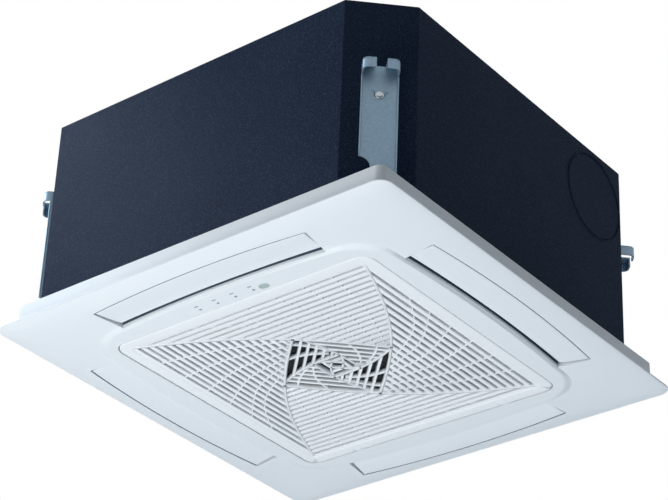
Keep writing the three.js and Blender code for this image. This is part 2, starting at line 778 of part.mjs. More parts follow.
function grilleBody() {
  const outer = softSquare(grilleHalf, grilleCorner, 0, 4, 1);
  const bevelled = softSquare(grilleHalf - 1, grilleCorner, 0, 4, 1);
  const frame = loft([atHeight(bevelled, 0), atHeight(outer, 1), atHeight(outer, grilleThickness)]);
  const field = softSquare(fieldHalf, 4, 0, 2, 1);
  const dished = cut(
    frame,
    prism(field, -1, slatFront), prism(field, slatFront + slatDepth, grilleThickness + 1),
  );
  const notches = [-1, 1].map((side) => block(
    side * hingeAlong - hingeEar / 2 - 1, side * hingeAlong + hingeEar / 2 + 1,
    hingeLine.y - earRadius - 1.2, grilleHalf + 1, -1, grilleThickness + 1,
  ));
  const guides = [-1, 1].flatMap((side) => [-1, 1].map((wall) => {
    const x = side * latchAlong + wall * (latchWidth / 2 + fit + guideWall / 2);
    return block(x - guideWall / 2, x + guideWall / 2, -grilleHalf + 3, -grilleHalf + latchLength - 2,
      grilleThickness - 1, grilleThickness + fit + latchThickness);
  }));
  const reliefs = [-1, 1].map((side) => prism([
    [side * (grilleHalf - reliefInset), -1], [side * (grilleHalf + 1), -1],
    [side * (grilleHalf + 1), reliefSlope * (reliefInset + 1)],
    [side * (grilleHalf - reliefInset), 0],
  ], -grilleHalf - 1, -hingeLine.y + hingeLine.z + 2 * fit).rotateX(Math.PI / 2));
  return surface(solid(cut(
    add(dished, ...guides), ...notches, ...reliefs, ...hingeBores(hingePin + fit / 2),
    ...levelVoids(0), ...levelVoids(1), ...levelVoids(2),
  )).simplify(meshTolerance));
}
piece('intake_grille', grilleBody(), 'grille');

const hingePinBar = alongX(
  bar(hingePin - fit / 2, -hingePinLength / 2, hingePinLength / 2, smallSides),
);
const latch = block(-latchWidth / 2, latchWidth / 2, fit, latchLength, fit, fit + latchThickness);
for (const [name, side] of [['left', -1], ['right', 1]]) {
  piece(`grille_hinge_pin_${name}`, hingePinBar.clone(), 'steel')
    .position.set(side * hingeAlong, hingeLine.y, hingeLine.z);
  piece(`grille_latch_${name}`, latch.clone(), 'greyPlastic')
    .position.set(side * latchAlong, -grilleHalf, grilleThickness);
}

// The filter: a frame, crossed ribs and a net, lying on the backs of the slats.
const filterFoot = slatFront + slatDepth + fit;
const netLevel = filterFoot + filterThickness / 2;
const filterBlock = (inset, z0, z1) => block(
  -filterHalf + inset, filterHalf - inset, -filterHalf + inset, filterHalf - inset, z0, z1,
);
const filterBars = [];
for (let i = 1; i <= filterRibs; i += 1) {
  const along = filterHalf * (2 * i / (filterRibs + 1) - 1);
  const rib = block(
    along - 1, along + 1, -filterHalf + 1, filterHalf - 1, filterFoot + 1, filterFoot + filterThickness - 1,
  );
  filterBars.push(rib, quarterTurn(rib, 1));
}
piece('air_filter', add(
  cut(filterBlock(0, filterFoot, filterFoot + filterThickness), filterBlock(filterRail, 0, deep)),
  filterBlock(1, netLevel - netThickness / 2, netLevel + netThickness / 2),
  ...filterBars,
), 'net');

// ---------------------------------------------------------------- drain pan and bell mouth
const panOutletInner = outletInner + edgeBow;
const coilOuter = panOutletInner - coilMargin;
const coilInner = coilOuter - coilThickness;
const coilFoot = panFoot + coilSeat + fit;
const panOutletLength = outletInnerLength - 2 * panOutletInset;
const pumpReach = (chamferDistance('far') - pumpInset) * Math.SQRT1_2;
const pumpPlace = new THREE.Vector2(-pumpReach, pumpReach);
const floatPlace = pumpPlace.clone().addScaledVector(new THREE.Vector2(1, 1).normalize(), floatAway);
const sumpFloor = panTop - sumpDepth;
const panOutlets = [0, 1, 2, 3].map((side) => quarterTurn(block(
  -panOutletLength / 2, panOutletLength / 2, -panOutletInner - panOutletWidth, -panOutletInner, 0, deep,
), side));
piece('drain_pan', cut(
  prism(casingPlan(sheet + fit), panFoot, panTop),
  ...panOutlets,
  bar(bellMouthRadius + fit, 0, deep, roundSides),
  cut(
    prism(softSquare(coilOuter + troughMargin, coilCorner + troughMargin, 0, 4, 1),
      panFoot + coilSeat, deep),
    prism(softSquare(coilInner - troughMargin, coilCorner - coilThickness, 0, 4, 1), 0, deep),
  ),
  bar(pumpRadius + sumpClearance, sumpFloor, deep).translate(pumpPlace.x, pumpPlace.y, 0),
  bar(floatRadius + sumpClearance, sumpFloor, deep).translate(floatPlace.x, floatPlace.y, 0),
), 'foam');

const bellFoot = panFoot - fit - bellWall;
const bellTop = bellFoot + bellHeight;
function bellProfile() {
  const inner = [];
  const outer = [];
  const steps = 4;
  for (let i = 0; i <= steps; i += 1) {
    const angle = i / steps * Math.PI / 2;
    const across = bellMouthRadius - 4 - bellThroat - bellWall;
    const z = bellFoot + (bellHeight - bellStraight) * Math.sin(angle);
    const radius = bellThroat + across * (1 - Math.sin(angle));
    inner.push([radius, z]);
    outer.push([radius + bellWall, z + bellWall * Math.cos(angle)]);
  }
  return [
    [bellFlange, bellFoot], [bellFlange, bellFoot + bellWall], ...outer,
    [bellThroat + bellWall, bellTop], [bellThroat, bellTop], ...inner.reverse(),
    [bellFlange, bellFoot],
  ];
}
piece('bell_mouth', turned(bellProfile()), 'darkPlastic');

// ---------------------------------------------------------------- heat exchanger
const coilTop = coilFoot + coilHeight;
const coilPlan = softSquare(coilOuter, coilCorner, 0, 6, 1);
const openingSide = -coilOuter + coilOpening;
const farCorner = block(-deep, openingSide, -openingSide, deep, 0, deep);
piece('heat_exchanger', cut(
  prism(coilPlan, coilFoot, coilTop),
  prism(softSquare(coilInner, coilCorner - coilThickness, 0, 6, 1), 0, deep),
  farCorner,
), 'aluminium');
const plateLine = openingSide - fit - cornerPlate / 2;
piece('coil_corner_plate', ribbon([
  new THREE.Vector2(plateLine, coilOuter), new THREE.Vector2(plateLine, coilInner + cornerPlate),
  new THREE.Vector2(-coilInner - cornerPlate, -plateLine), new THREE.Vector2(-coilOuter, -plateLine),
], cornerPlate, panTop + fit, coilTop), 'galvanised');

// ---------------------------------------------------------------- fan
const hubTop = fanHubHeight + fanWall;
const shroudFoot = bellTop - shroudLap;
function shroudCurve(offset) {
  const points = [];
  const steps = 4;
  for (let i = 0; i <= steps; i += 1) {
    const angle = i / steps * Math.PI / 2;
    points.push([
      fanInlet + (fanRadius - fanInlet) * (1 - Math.cos(angle)) + offset * Math.cos(angle),
      shroudFoot + fanShroudRise * Math.sin(angle) - offset * Math.sin(angle),
    ]);
  }
  return points;
}
piece('fan_shroud', turned([
  ...shroudCurve(fanWall), ...shroudCurve(0).reverse(), shroudCurve(fanWall)[0],
]), 'darkPlastic');
const hub = turned([
  [0, fanHubHeight - bossHeight], [bossRadius, fanHubHeight - bossHeight],
  [bossRadius, fanHubHeight - bossFillet], [bossRadius + bossFillet, fanHubHeight],
  [fanRadius, fanHubHeight], [fanRadius, hubTop], [0, hubTop],
]);
const bladeSpace = turned([
  [0, shroudFoot - 1], ...shroudCurve(-fit), [fanRadius - fit, fanHubHeight + fanWall / 2],
  [0, fanHubHeight + fanWall / 2],
]);
function blade() {
  const points = [];
  const steps = 4;
  for (let i = 0; i <= steps; i += 1) {
    const radius = bladeInner + (fanRadius + 2 - bladeInner) * i / steps;
    const angle = -bladeSweep * degree * (i / steps) ** 1.2;
    points.push(new THREE.Vector2(radius * Math.cos(angle), radius * Math.sin(angle)));
  }
  return ribbon(points, bladeThickness, shroudFoot - 1, fanHubHeight + 1);
}
const blades = [];
for (let i = 0; i < bladeCount; i += 1) blades.push(blade().rotateZ(2 * Math.PI * i / bladeCount));
const bladesAboveBell = cut(
  common(bladeSpace, add(...blades)), bar(fanRadius + fit, 0, bellTop + bellClearance, roundSides),
);
piece('fan_wheel', cut(
  add(hub, bladesAboveBell), bar(shaftRadius + fit, 0, deep, 16),
), 'darkPlastic');

const motorFoot = hubTop + motorClearance;
const motorTop = motorFoot + motorHeight;
const nutFoot = fanHubHeight - bossHeight - fit - nutHeight;
const shaftTop = motorFoot + shaftEngagement;
const bandFoot = motorFoot + motorBand;
piece('motor_shaft', bar(shaftRadius, nutFoot - 1, shaftTop, 16), 'steel');
piece('fan_nut', cut(
  bar(nutRadius, nutFoot, nutFoot + nutHeight, 6), bar(shaftRadius + fit, 0, deep, 16),
), 'steel');
piece('fan_motor', turned([
  [shaftRadius + fit, shaftTop + fit], [shaftRadius + fit, motorFoot], [motorNose, motorFoot],
  [motorNose + 2, motorFoot + motorEdge], [motorRadius - motorEdge, motorFoot + motorShoulder - motorEdge],
  [motorRadius, motorFoot + motorShoulder], [motorRadius, bandFoot], [motorFlange, bandFoot],
  [motorFlange, bandFoot + motorBandHeight], [motorRadius, bandFoot + motorBandHeight],
  [motorRadius, motorTop - motorEdge], [motorRadius - motorEdge, motorTop], [0, motorTop],
  [0, shaftTop + fit], [shaftRadius + fit, shaftTop + fit],
]), 'galvanised');
const mountPlate = cut(
  bar(motorFlange, motorTop + fit, motorTop + fit + 2 * sheet, 24), bar(mountBore, 0, deep, 24),
);
const mountPosts = [0, 1, 2, 3].map((i) => bar(
  mountPost, motorTop + fit + sheet, casingTop - sheet - fit, 12,
).translate(motorFlange - mountPost - mountInset, 0, 0).rotateZ((45 + 90 * i) * degree));
piece('motor_mount', add(mountPlate, ...mountPosts), 'galvanised');

// ---------------------------------------------------------------- drain pump and float switch
const pumpFoot = sumpFloor + fit;
const chamberFoot = pumpFoot + pumpFloor;
const impellerFoot = chamberFoot + 1;
const chamberTop = impellerFoot + impellerHeight + 1;
const spoutHeight = pumpFoot + pumpHeight - spoutDrop;
const spoutReach = pumpRadius + spoutLength;
const shaftRoom = chamberTop + impellerShaftLength + fit;
const pumpBody = turned([
  [pumpInlet, pumpFoot], [pumpRadius, pumpFoot], [pumpRadius, pumpFoot + pumpChamberHeight],
  [pumpMotorRadius, pumpFoot + pumpChamberHeight + pumpRadius - pumpMotorRadius],
  [pumpMotorRadius, pumpFoot + pumpHeight], [0, pumpFoot + pumpHeight], [0, shaftRoom],
  [impellerShaft + fit, shaftRoom], [impellerShaft + fit, chamberTop],
  [impellerRadius + 1, chamberTop], [impellerRadius + 1, chamberFoot], [pumpInlet, chamberFoot],
  [pumpInlet, pumpFoot],
], 20);
const spout = alongX(bar(hoseBore - fit, pumpMotorRadius - 3, spoutReach, smallSides))
  .translate(0, 0, spoutHeight);
piece('drain_pump', add(pumpBody, spout), 'greyPlastic').position.set(pumpPlace.x, pumpPlace.y, 0);
const vane = block(
  -impellerRadius, impellerRadius, -vaneThickness / 2, vaneThickness / 2,
  impellerFoot, impellerFoot + impellerHeight,
);
piece('pump_impeller', add(
  vane, quarterTurn(vane, 1), bar(impellerHub, impellerFoot, impellerFoot + impellerHeight, smallSides),
  bar(impellerShaft, impellerFoot, chamberTop + impellerShaftLength, smallSides),
), 'greyPlastic').position.set(pumpPlace.x, pumpPlace.y, 0);

const stemFoot = sumpFloor + fit;
const stemTop = stemFoot + floatStemHeight;
const floatFoot = stemTop - floatTravel - floatHeight - fit;
piece('float_switch', add(
  bar(floatBase, stemFoot, floatFoot - fit, smallSides), bar(floatStem, stemFoot, stemTop + 1, smallSides),
  bar(floatCap, stemTop, stemTop + floatCapHeight, smallSides),
), 'greyPlastic').position.set(floatPlace.x, floatPlace.y, 0);
piece('float_ring', cut(
  bar(floatRadius, floatFoot, floatFoot + floatHeight, 16), bar(floatStem + fit, 0, deep, smallSides),
), 'foam').position.set(floatPlace.x, floatPlace.y, 0);

// ---------------------------------------------------------------- pipes through the back wall
const plateFace = half + fit;
const gasAlong = serviceAlongWall - pipeSpacing / 2;
const liquidAlong = serviceAlongWall + pipeSpacing / 2;
piece('service_plate', cut(
  block(
    serviceAlongWall - servicePlateWidth / 2, serviceAlongWall + servicePlateWidth / 2,
    plateFace, plateFace + sheet,
    serviceCentre - servicePlateHeight / 2, serviceCentre + servicePlateHeight / 2,
  ),
  alongY(bar(gasRadius + fit, 0, deep)).translate(gasAlong, 0, serviceCentre),
  alongY(bar(liquidRadius + fit, 0, deep)).translate(liquidAlong, 0, serviceCentre),
), 'galvanised');
const coilFace = coilOuter + fit;
const coilEnd = serviceCentre - pipeDrop;
for (const [name, along, radius] of [['gas', gasAlong, gasRadius], ['liquid', liquidAlong, liquidRadius]]) {
  piece(`${name}_pipe`, pipe([
    [along, coilFace, coilEnd], [along, coilFace + pipeBendStart, coilEnd],
    [along, coilFace + pipeBendStart + pipeBendEase, coilEnd + 0.2 * pipeDrop],
    [along, coilFace + pipeBendEnd - pipeBendEase, serviceCentre - 0.2 * pipeDrop],
    [along, coilFace + pipeBendEnd, serviceCentre],
    [along, half - sheet - linerThickness, serviceCentre], [along, half + pipeReach, serviceCentre],
  ], radius, pipeSteps, smallSides), 'copper');
  piece(`${name}_flare_nut`, cut(
    alongY(bar(radius + nutWall, half + pipeReach - nutLength, half + pipeReach - 1, 6)),
    alongY(bar(radius + fit, 0, deep, 20)),
  ), 'brass').position.set(along, 0, serviceCentre);
}
const socketInner = half - linerInset;
piece('drain_socket', alongY(turned([
  [drainBore, socketInner], [drainRadius, socketInner], [drainRadius, plateFace],
  [drainRadius + drainFlange, plateFace], [drainRadius + drainFlange, plateFace + sheet],
  [drainRadius, plateFace + sheet], [drainRadius, half + pipeReach], [drainBore, half + pipeReach],
  [drainBore, socketInner],
], 24)), 'greyPlastic').position.set(drainAlong, 0, drainCentre);
const hoseStart = pumpPlace.x + spoutReach - hoseLap;
piece('drain_hose', cut(
  pipe([
    [hoseStart, pumpPlace.y, spoutHeight], [hoseStart + 1.5 * hoseRadius, pumpPlace.y, spoutHeight + 2],
    [hoseStart + hoseTurn, pumpPlace.y + hoseRadius / 2, spoutHeight + hoseTurn - 3],
    [hoseStart + hoseTurn + 1, pumpPlace.y + 1.5 * hoseRadius, spoutHeight + hoseRise],
    [drainAlong + 6, socketInner - hoseApproach, drainCentre - hoseRadius],
    [drainAlong + 1, socketInner - 0.6 * hoseApproach, drainCentre],
    [drainAlong, socketInner - fit, drainCentre],
  ], hoseRadius, 18, 8),
  alongX(bar(hoseBore, 0, hoseLap + 2, smallSides)).translate(hoseStart - 1, pumpPlace.y, spoutHeight),
), 'greyPlastic');

// ---------------------------------------------------------------- control box
const boxTop = bellFoot - fit;
const boxFoot = boxTop - boxHeight;
const boxOuter = -recessHalf + fit;
const boxInner = boxOuter + boxWidth;
const boxCentre = (boxOuter + boxInner) / 2;
const postFoot = boxTop - boxWall - boxPostLength;
const boxPosts = [-1, 1].map((end) => bar(boxPostRadius, postFoot, boxTop - boxWall / 2, 10)
  .translate(boxCentre, end * (boxLength / 2 - boxPostInset), 0));
piece('control_box', add(cut(
  block(boxOuter, boxInner, -boxLength / 2, boxLength / 2, boxFoot, boxTop),
  block(boxOuter + boxWall, boxInner - boxWall, -boxLength / 2 + boxWall, boxLength / 2 - boxWall,
    0, boxTop - boxWall),
), ...boxPosts), 'galvanised');
piece('control_box_cover', block(
  boxOuter, boxInner, -boxLength / 2, boxLength / 2, boxFoot - fit - coverThickness, boxFoot - fit,
), 'galvanised');
const circuitTop = postFoot - fit;
const circuitFoot = circuitTop - boardThickness;
piece('circuit_board', block(
  boxOuter + boardMargin, boxInner - boardMargin, -boxLength / 2 + boardMargin, boxLength / 2 - boardMargin,
  circuitFoot, circuitTop,
), 'board');
const terminalStart = -boxLength / 2 + 2 * boardMargin;
piece('terminal_block', block(
  boxCentre - terminalWidth / 2, boxCentre + terminalWidth / 2,
  terminalStart, terminalStart + terminalLength,
  circuitFoot - fit - terminalHeight, circuitFoot - fit,
), 'darkPlastic');

export default object;
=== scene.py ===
"""Ceiling cassette air conditioner: its fine shapes, finishes, light and camera.

The classes hold their sizes in millimetres and their angles in degrees, in the frame of the
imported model: +Z points up into the ceiling void, and z = 0 is the panel's lowest face. Meshes
are made in metres.
"""

import logging
import math
from collections.abc import Callable, Sequence
from dataclasses import dataclass, field
from enum import Enum

import bmesh
import bpy
from mathutils import Matrix, Vector


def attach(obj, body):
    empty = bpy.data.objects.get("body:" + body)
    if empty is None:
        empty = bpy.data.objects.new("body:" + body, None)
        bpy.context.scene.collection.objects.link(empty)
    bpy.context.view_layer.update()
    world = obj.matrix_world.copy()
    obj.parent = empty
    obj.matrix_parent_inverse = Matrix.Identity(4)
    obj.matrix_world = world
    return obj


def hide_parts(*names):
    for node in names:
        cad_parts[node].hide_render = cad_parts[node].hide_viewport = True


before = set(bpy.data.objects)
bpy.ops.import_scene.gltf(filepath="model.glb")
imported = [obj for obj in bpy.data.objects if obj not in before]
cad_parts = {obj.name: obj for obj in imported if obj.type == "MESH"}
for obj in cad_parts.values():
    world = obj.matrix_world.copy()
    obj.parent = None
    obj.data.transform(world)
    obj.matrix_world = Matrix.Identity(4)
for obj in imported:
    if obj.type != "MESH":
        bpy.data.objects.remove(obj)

LOG = logging.getLogger("cassette")
MM = 0.001
MERGE_REACH = 1e-7  # metres
BEVEL_STEPS = 3
BEVEL_ANGLE = 32  # degrees
FACE_WEIGHT = 80
QUARTER = math.pi / 2
Point = tuple[float, float, float]
Flat = tuple[float, float]
Colour = tuple[float, float, float]
Profile = tuple[Flat, ...]
Rings = tuple[Point, ...]
Four = tuple[float, float, float, float]
Node = bpy.types.Node
Socket = bpy.types.NodeSocket
NUMBER, VECTOR, TONE = "NodeSocketFloat", "NodeSocketVector", "NodeSocketColor"


class Body(Enum):
    """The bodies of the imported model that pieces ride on."""

    UNIT = "unit"
    FAN = "fan"
    GRILLE = "grille"
    FLAP_FRONT = "flap_front"
    FLAP_RIGHT = "flap_right"
    FLAP_BACK = "flap_back"
    FLAP_LEFT = "flap_left"


# ---------------------------------------------------------------------------- node groups
class NodeDesk:
    """Adds and joins nodes in one node tree."""

    def __init__(self, tree: bpy.types.NodeTree) -> None:
        """Keeps the tree.

        Args:
            tree: The tree that gets the nodes.
        """
        self.tree = tree

    def add(self, kind: str, inputs: dict[str | int, object] | None = None,
            **settings: object) -> Node:
        """Adds one node.

        Args:
            kind: The node's type name without its ShaderNode prefix.
            inputs: Sockets and plain values by input name or number.
            **settings: The node's own settings.

        Returns:
            The new node.
        """
        node = self.tree.nodes.new("ShaderNode" + kind)
        for key, value in settings.items():
            setattr(node, key, value)
        self.feed(node, inputs or {})
        return node

    def feed(self, node: Node, inputs: dict[str | int, object]) -> None:
        """Links or sets a node's inputs.

        Args:
            node: The node.
            inputs: Sockets and plain values by input name or number.
        """
        for key, value in inputs.items():
            if isinstance(value, Socket):
                self.tree.links.new(value, node.inputs[key])
            else:
                node.inputs[key].default_value = value

    def maths(self, operation: str, first: object, second: object) -> Socket:
        """Adds a Math node.

        Args:
            operation: The node's operation.
            first: A socket or a number.
            second: A socket or a number.

        Returns:
            The node's result.
        """
        return self.add("Math", {0: first, 1: second}, operation=operation).outputs[0]

    def remap(self, value: Socket, low: float, high: float, to_low: float = 0.0,
              to_high: float = 1.0) -> Socket:
        """Maps a value's range onto another, clamped.

        Args:
            value: The value.
            low: The start of its range.
            high: The end of its range.
            to_low: What the start becomes.
            to_high: What the end becomes.

        Returns:
            The mapped value.
        """
        ends = {0: value, 1: low, 2: high, 3: to_low, 4: to_high}
        return self.add("MapRange", ends).outputs[0]

    def blend(self, share: Socket, first: object, second: object) -> Socket:
        """Mixes two colours, and returns the mixed one."""
        inputs = {"Factor": share, "A": first, "B": second}
        return self.add("Mix", inputs, data_type="RGBA").outputs["Result"]

    def shared(self, group: "SharedGroup", inputs: dict[str | int, object]) -> Node:
        """Places a shared group, and returns its node."""
        return self.add("Group", inputs, node_tree=group.tree())


class GroupDesk(NodeDesk):
    """Adds and joins nodes inside a new node group."""

    def __init__(self, name: str, inputs: dict[str, str], outputs: dict[str, str]) -> None:
        """Starts the group.

        Args:
            name: The group's name.
            inputs: Socket types by input name.
            outputs: Socket types by output name.
        """
        super().__init__(bpy.data.node_groups.new(name, "ShaderNodeTree"))
        for label, kind in inputs.items():
            self.tree.interface.new_socket(name=label, in_out="INPUT", socket_type=kind)
        for label, kind in outputs.items():
            self.tree.interface.new_socket(name=label, in_out="OUTPUT", socket_type=kind)
        self.entry = self.tree.nodes.new("NodeGroupInput")
        self.leave = self.tree.nodes.new("NodeGroupOutput")

    def given(self, name: str) -> Socket:
        """Returns one of the group's inputs."""
        return self.entry.outputs[name]

    def give(self, name: str, value: Socket) -> None:
        """Links a value to one of the group's outputs."""
        self.feed(self.leave, {name: value})


@dataclass(frozen=True)
class SharedGroup:
    """A node group that several finishes use, and how it is filled."""

    name: str
    inputs: dict[str, str]
    outputs: dict[str, str]
    fill: Callable[[GroupDesk], None]

    def tree(self) -> bpy.types.NodeTree:
        """Builds the group on first use.

        Returns:
            The group's tree.
        """
        if self.name not in bpy.data.node_groups:
            self.fill(GroupDesk(self.name, self.inputs, self.outputs))
        return bpy.data.node_groups[self.name]


def fill_grain(desk: GroupDesk) -> None:
    """Mixes noise with small cells: the fine pits and bumps of coats and mouldings.

    Args:
        desk: The group's desk.
    """
    place, scale = desk.given("Vector"), desk.given("Scale")
    noise = desk.add("TexNoise", {"Vector": place, "Scale": scale, "Detail": 4.0,
                                  "Roughness": 0.62})
    cells = desk.add("TexVoronoi", {"Vector": place, "Randomness": 1.0,
                                    "Scale": desk.maths("MULTIPLY", scale, 1.7)})
    pits = desk.remap(cells.outputs["Distance"], 0.0, 0.6)
    desk.give("Height", desk.maths("ADD", desk.maths("MULTIPLY", noise.outputs["Fac"], 0.6),
                                   desk.maths("MULTIPLY", pits, 0.4)))
    desk.give("Mask", desk.remap(noise.outputs["Fac"], 0.32, 0.68))


def fill_drift(desk: GroupDesk) -> None:
    """Wanders slowly between two tones by wide noise.

    Args:
        desk: The group's desk.
    """
    noise = desk.add("TexNoise", {"Vector": desk.given("Vector"), "Scale": desk.given("Scale"),
                                  "Detail": 3.0, "Roughness": 0.5})
    share = desk.remap(noise.outputs["Fac"], 0.35, 0.65)
    desk.give("Colour", desk.blend(share, desk.given("Light"), desk.given("Dark")))


def fill_dust(desk: GroupDesk) -> None:
    """Finds where dust lies: the upward share of the normal, by patchy noise.

    Args:
        desk: The group's desk.
    """
    split = desk.add("SeparateXYZ", {0: desk.add("NewGeometry").outputs["Normal"]})
    noise = desk.add("TexNoise", {"Vector": desk.given("Vector"), "Scale": 26.0,
                                  "Detail": 5.0, "Roughness": 0.65})
    upward = desk.remap(split.outputs["Z"], 0.35, 0.95)
    patches = desk.remap(noise.outputs["Fac"], 0.3, 0.75, 0.35, 1.0)
    desk.give("Mask", desk.maths("MULTIPLY", desk.maths("MULTIPLY", upward, patches),
                                 desk.given("Amount")))


def fill_spangle(desk: GroupDesk) -> None:
    """Gives each zinc crystal its own value, and fine drawn lines their height.

    Args:
        desk: The group's desk.
    """
    place = desk.given("Vector")
    crystals = desk.add("TexVoronoi", {"Vector": place, "Scale": desk.given("Scale"),
                                       "Randomness": 1.0})
    split = desk.add("SeparateColor", {0: crystals.outputs["Color"]})
    stretch = desk.add("Mapping", {"Vector": place, "Scale": (900.0, 900.0, 24.0)})
    lines = desk.add("TexNoise", {"Vector": stretch.outputs["Vector"], "Scale": 1.0,
                                  "Detail": 2.0, "Roughness": 0.6})
    desk.give("Crystal", split.outputs[0])
    desk.give("Height", lines.outputs["Fac"])


def fill_ribs(desk: GroupDesk) -> None:
    """Makes even ribs: a wave of the distance along a chosen direction.

    Args:
        desk: The group's desk.
    """
    along = desk.add("VectorMath", {0: desk.given("Vector"), 1: desk.given("Direction")},
                     operation="DOT_PRODUCT")
    turns = desk.maths("DIVIDE", along.outputs["Value"], desk.given("Pitch"))
    wave = desk.maths("SINE", desk.maths("MULTIPLY", turns, math.tau), 0.0)
    desk.give("Height", desk.remap(wave, -1.0, 1.0))


MOULDED_GRAIN = SharedGroup("moulded_grain", {"Vector": VECTOR, "Scale": NUMBER},
                            {"Height": NUMBER, "Mask": NUMBER}, fill_grain)
TONE_DRIFT = SharedGroup("tone_drift", {"Vector": VECTOR, "Scale": NUMBER, "Light": TONE,
                                        "Dark": TONE}, {"Colour": TONE}, fill_drift)
SETTLED_DUST = SharedGroup("settled_dust", {"Vector": VECTOR, "Amount": NUMBER},
                           {"Mask": NUMBER}, fill_dust)
ZINC_SPANGLE = SharedGroup("zinc_spangle", {"Vector": VECTOR, "Scale": NUMBER},
                           {"Crystal": NUMBER, "Height": NUMBER}, fill_spangle)
EVEN_RIBS = SharedGroup("even_ribs", {"Vector": VECTOR, "Direction": VECTOR, "Pitch": NUMBER},
                        {"Height": NUMBER}, fill_ribs)


# ---------------------------------------------------------------------------- finishes
@dataclass(frozen=True)
class Finish:
    """A surface: two near tones, a grain and its gloss."""

    name: str
    slot: str
    light: Colour
    dark: Colour
    roughness: float
    roughness_spread: float = 0.08
    metallic: float = 0.0
    specular: float = 0.5
    ior: float = 1.5
    coat: float = 0.0
    grain_scale: float = 900.0
    grain_depth: float = 0.12
    drift_scale: float = 9.0
    dust: float = 0.0
    dust_colour: Colour = (0.30, 0.29, 0.27)

    def material(self) -> bpy.types.Material:
        """Makes the material on first use.

        Returns:
            The material.
        """
        if self.name in bpy.data.materials:
            return bpy.data.materials[self.name]
        made = bpy.data.materials.new(self.name)
        made.use_nodes = True
        desk = NodeDesk(made.node_tree)
        place = desk.add("TexCoord").outputs["Object"]
        grain = desk.shared(MOULDED_GRAIN, {"Vector": place, "Scale": self.grain_scale})
        colour = self.tone(desk, place)
        colour, height = self.pattern(desk, place, colour, grain.outputs["Height"])
        rough = desk.remap(grain.outputs["Mask"], 0.0, 1.0,
                           max(self.roughness - self.roughness_spread, 0.03),
                           min(self.roughness + self.roughness_spread, 1.0))
        if self.dust:
            colour, rough = self.dusted(desk, place, colour, rough)
        bump = desk.add("Bump", {"Height": height, "Strength": self.grain_depth,
                                 "Distance": MM})
        desk.feed(made.node_tree.nodes["Principled BSDF"], {
            "Base Color": colour, "Roughness": rough, "Normal": bump.outputs["Normal"],
            "Metallic": self.metallic, "Specular IOR Level": self.specular, "IOR": self.ior,
            "Coat Weight": self.coat})
        return made

    def tone(self, desk: NodeDesk, place: Socket) -> Socket:
        """Mixes the wandering base tone.

        Args:
            desk: The material's desk.
            place: The coordinates.

        Returns:
            The colour.
        """
        return desk.shared(TONE_DRIFT, {
            "Vector": place, "Scale": self.drift_scale, "Light": (*self.light, 1.0),
            "Dark": (*self.dark, 1.0)}).outputs["Colour"]

    def pattern(self, desk: NodeDesk, place: Socket, colour: Socket,
                height: Socket) -> tuple[Socket, Socket]:
        """Adds what only this finish shows.

        Args:
            desk: The material's desk.
            place: Coordinates in metres.
            colour: The base tone.
            height: The grain's height.

        Returns:
            The colour and the height to use.
        """
        return colour, height

    def dusted(self, desk: NodeDesk, place: Socket, colour: Socket,
               rough: Socket) -> tuple[Socket, Socket]:
        """Lays dust on the faces that look up.

        Args:
            desk: The material's desk.
            place: The coordinates.
            colour: The colour so far.
            rough: The roughness so far.

        Returns:
            The colour and the roughness.
        """
        mask = desk.shared(SETTLED_DUST, {"Vector": place, "Amount": self.dust}).outputs["Mask"]
        return (desk.blend(mask, colour, (*self.dust_colour, 1.0)),
                desk.maths("MAXIMUM", rough, mask))


@dataclass(frozen=True)
class SpeckledCoat(Finish):
    """A coat with a fleck of lighter grains over the base tone."""

    fleck: Colour = (0.1, 0.1, 0.1)
    fleck_scale: float = 1500.0
    fleck_share: float = 0.5

    def pattern(self, desk: NodeDesk, place: Socket, colour: Socket,
                height: Socket) -> tuple[Socket, Socket]:
        """Sprinkles the flecks.

        Args:
            desk: The material's desk.
            place: Coordinates in metres.
            colour: The base tone.
            height: The grain's height.

        Returns:
            The flecked colour and the unchanged height.
        """
        noise = desk.add("TexNoise", {"Vector": place, "Scale": self.fleck_scale,
                                      "Detail": 2.0})
        share = desk.remap(noise.outputs["Fac"], 0.5, 0.8, 0.0, self.fleck_share)
        return desk.blend(share, colour, (*self.fleck, 1.0)), height


@dataclass(frozen=True)
class ZincSheet(Finish):
    """Zinc coated sheet with its crystals and drawn lines."""

    crystal: Colour = (0.5, 0.6, 0.7)
    crystal_scale: float = 160.0
    crystal_share: float = 0.5

    def pattern(self, desk: NodeDesk, place: Socket, colour: Socket,
                height: Socket) -> tuple[Socket, Socket]:
        """Tints each crystal.

        Args:
            desk: The material's desk.
            place: Coordinates in metres.
            colour: The base tone.
            height: The grain's height.

        Returns:
            The crystals' colour and the height of the drawn lines.
        """
        zinc = desk.shared(ZINC_SPANGLE, {"Vector": place, "Scale": self.crystal_scale})
        share = desk.remap(zinc.outputs["Crystal"], 0.0, 1.0, 0.0, self.crystal_share)
        return (desk.blend(share, colour, (*self.crystal, 1.0)),
                desk.maths("ADD", height, zinc.outputs["Height"]))


@dataclass(frozen=True)
class RibbedStock(Finish):
    """A surface of even ribs, such as fin stock or a turned face."""

    direction: Point = (1.0, 1.0, 0.0)
    pitch: float = 0.0016
    # groove: a painted shade tone for the hollows between the ribs.
    groove: Colour = (0.05, 0.06, 0.07)

    def pattern(self, desk: NodeDesk, place: Socket, colour: Socket,
                height: Socket) -> tuple[Socket, Socket]:
        """Darkens the grooves between the ribs with painted shade.

        Args:
            desk: The material's desk.
            place: Coordinates in metres.
            colour: The base tone.
            height: The grain's height.

        Returns:
            The ribbed colour and height.
        """
        ribs = desk.shared(EVEN_RIBS, {"Vector": place, "Direction": self.direction,
                                       "Pitch": self.pitch}).outputs["Height"]
        return (desk.blend(desk.remap(ribs, 0.05, 0.55), (*self.groove, 1.0), colour),
                desk.maths("ADD", height, ribs))


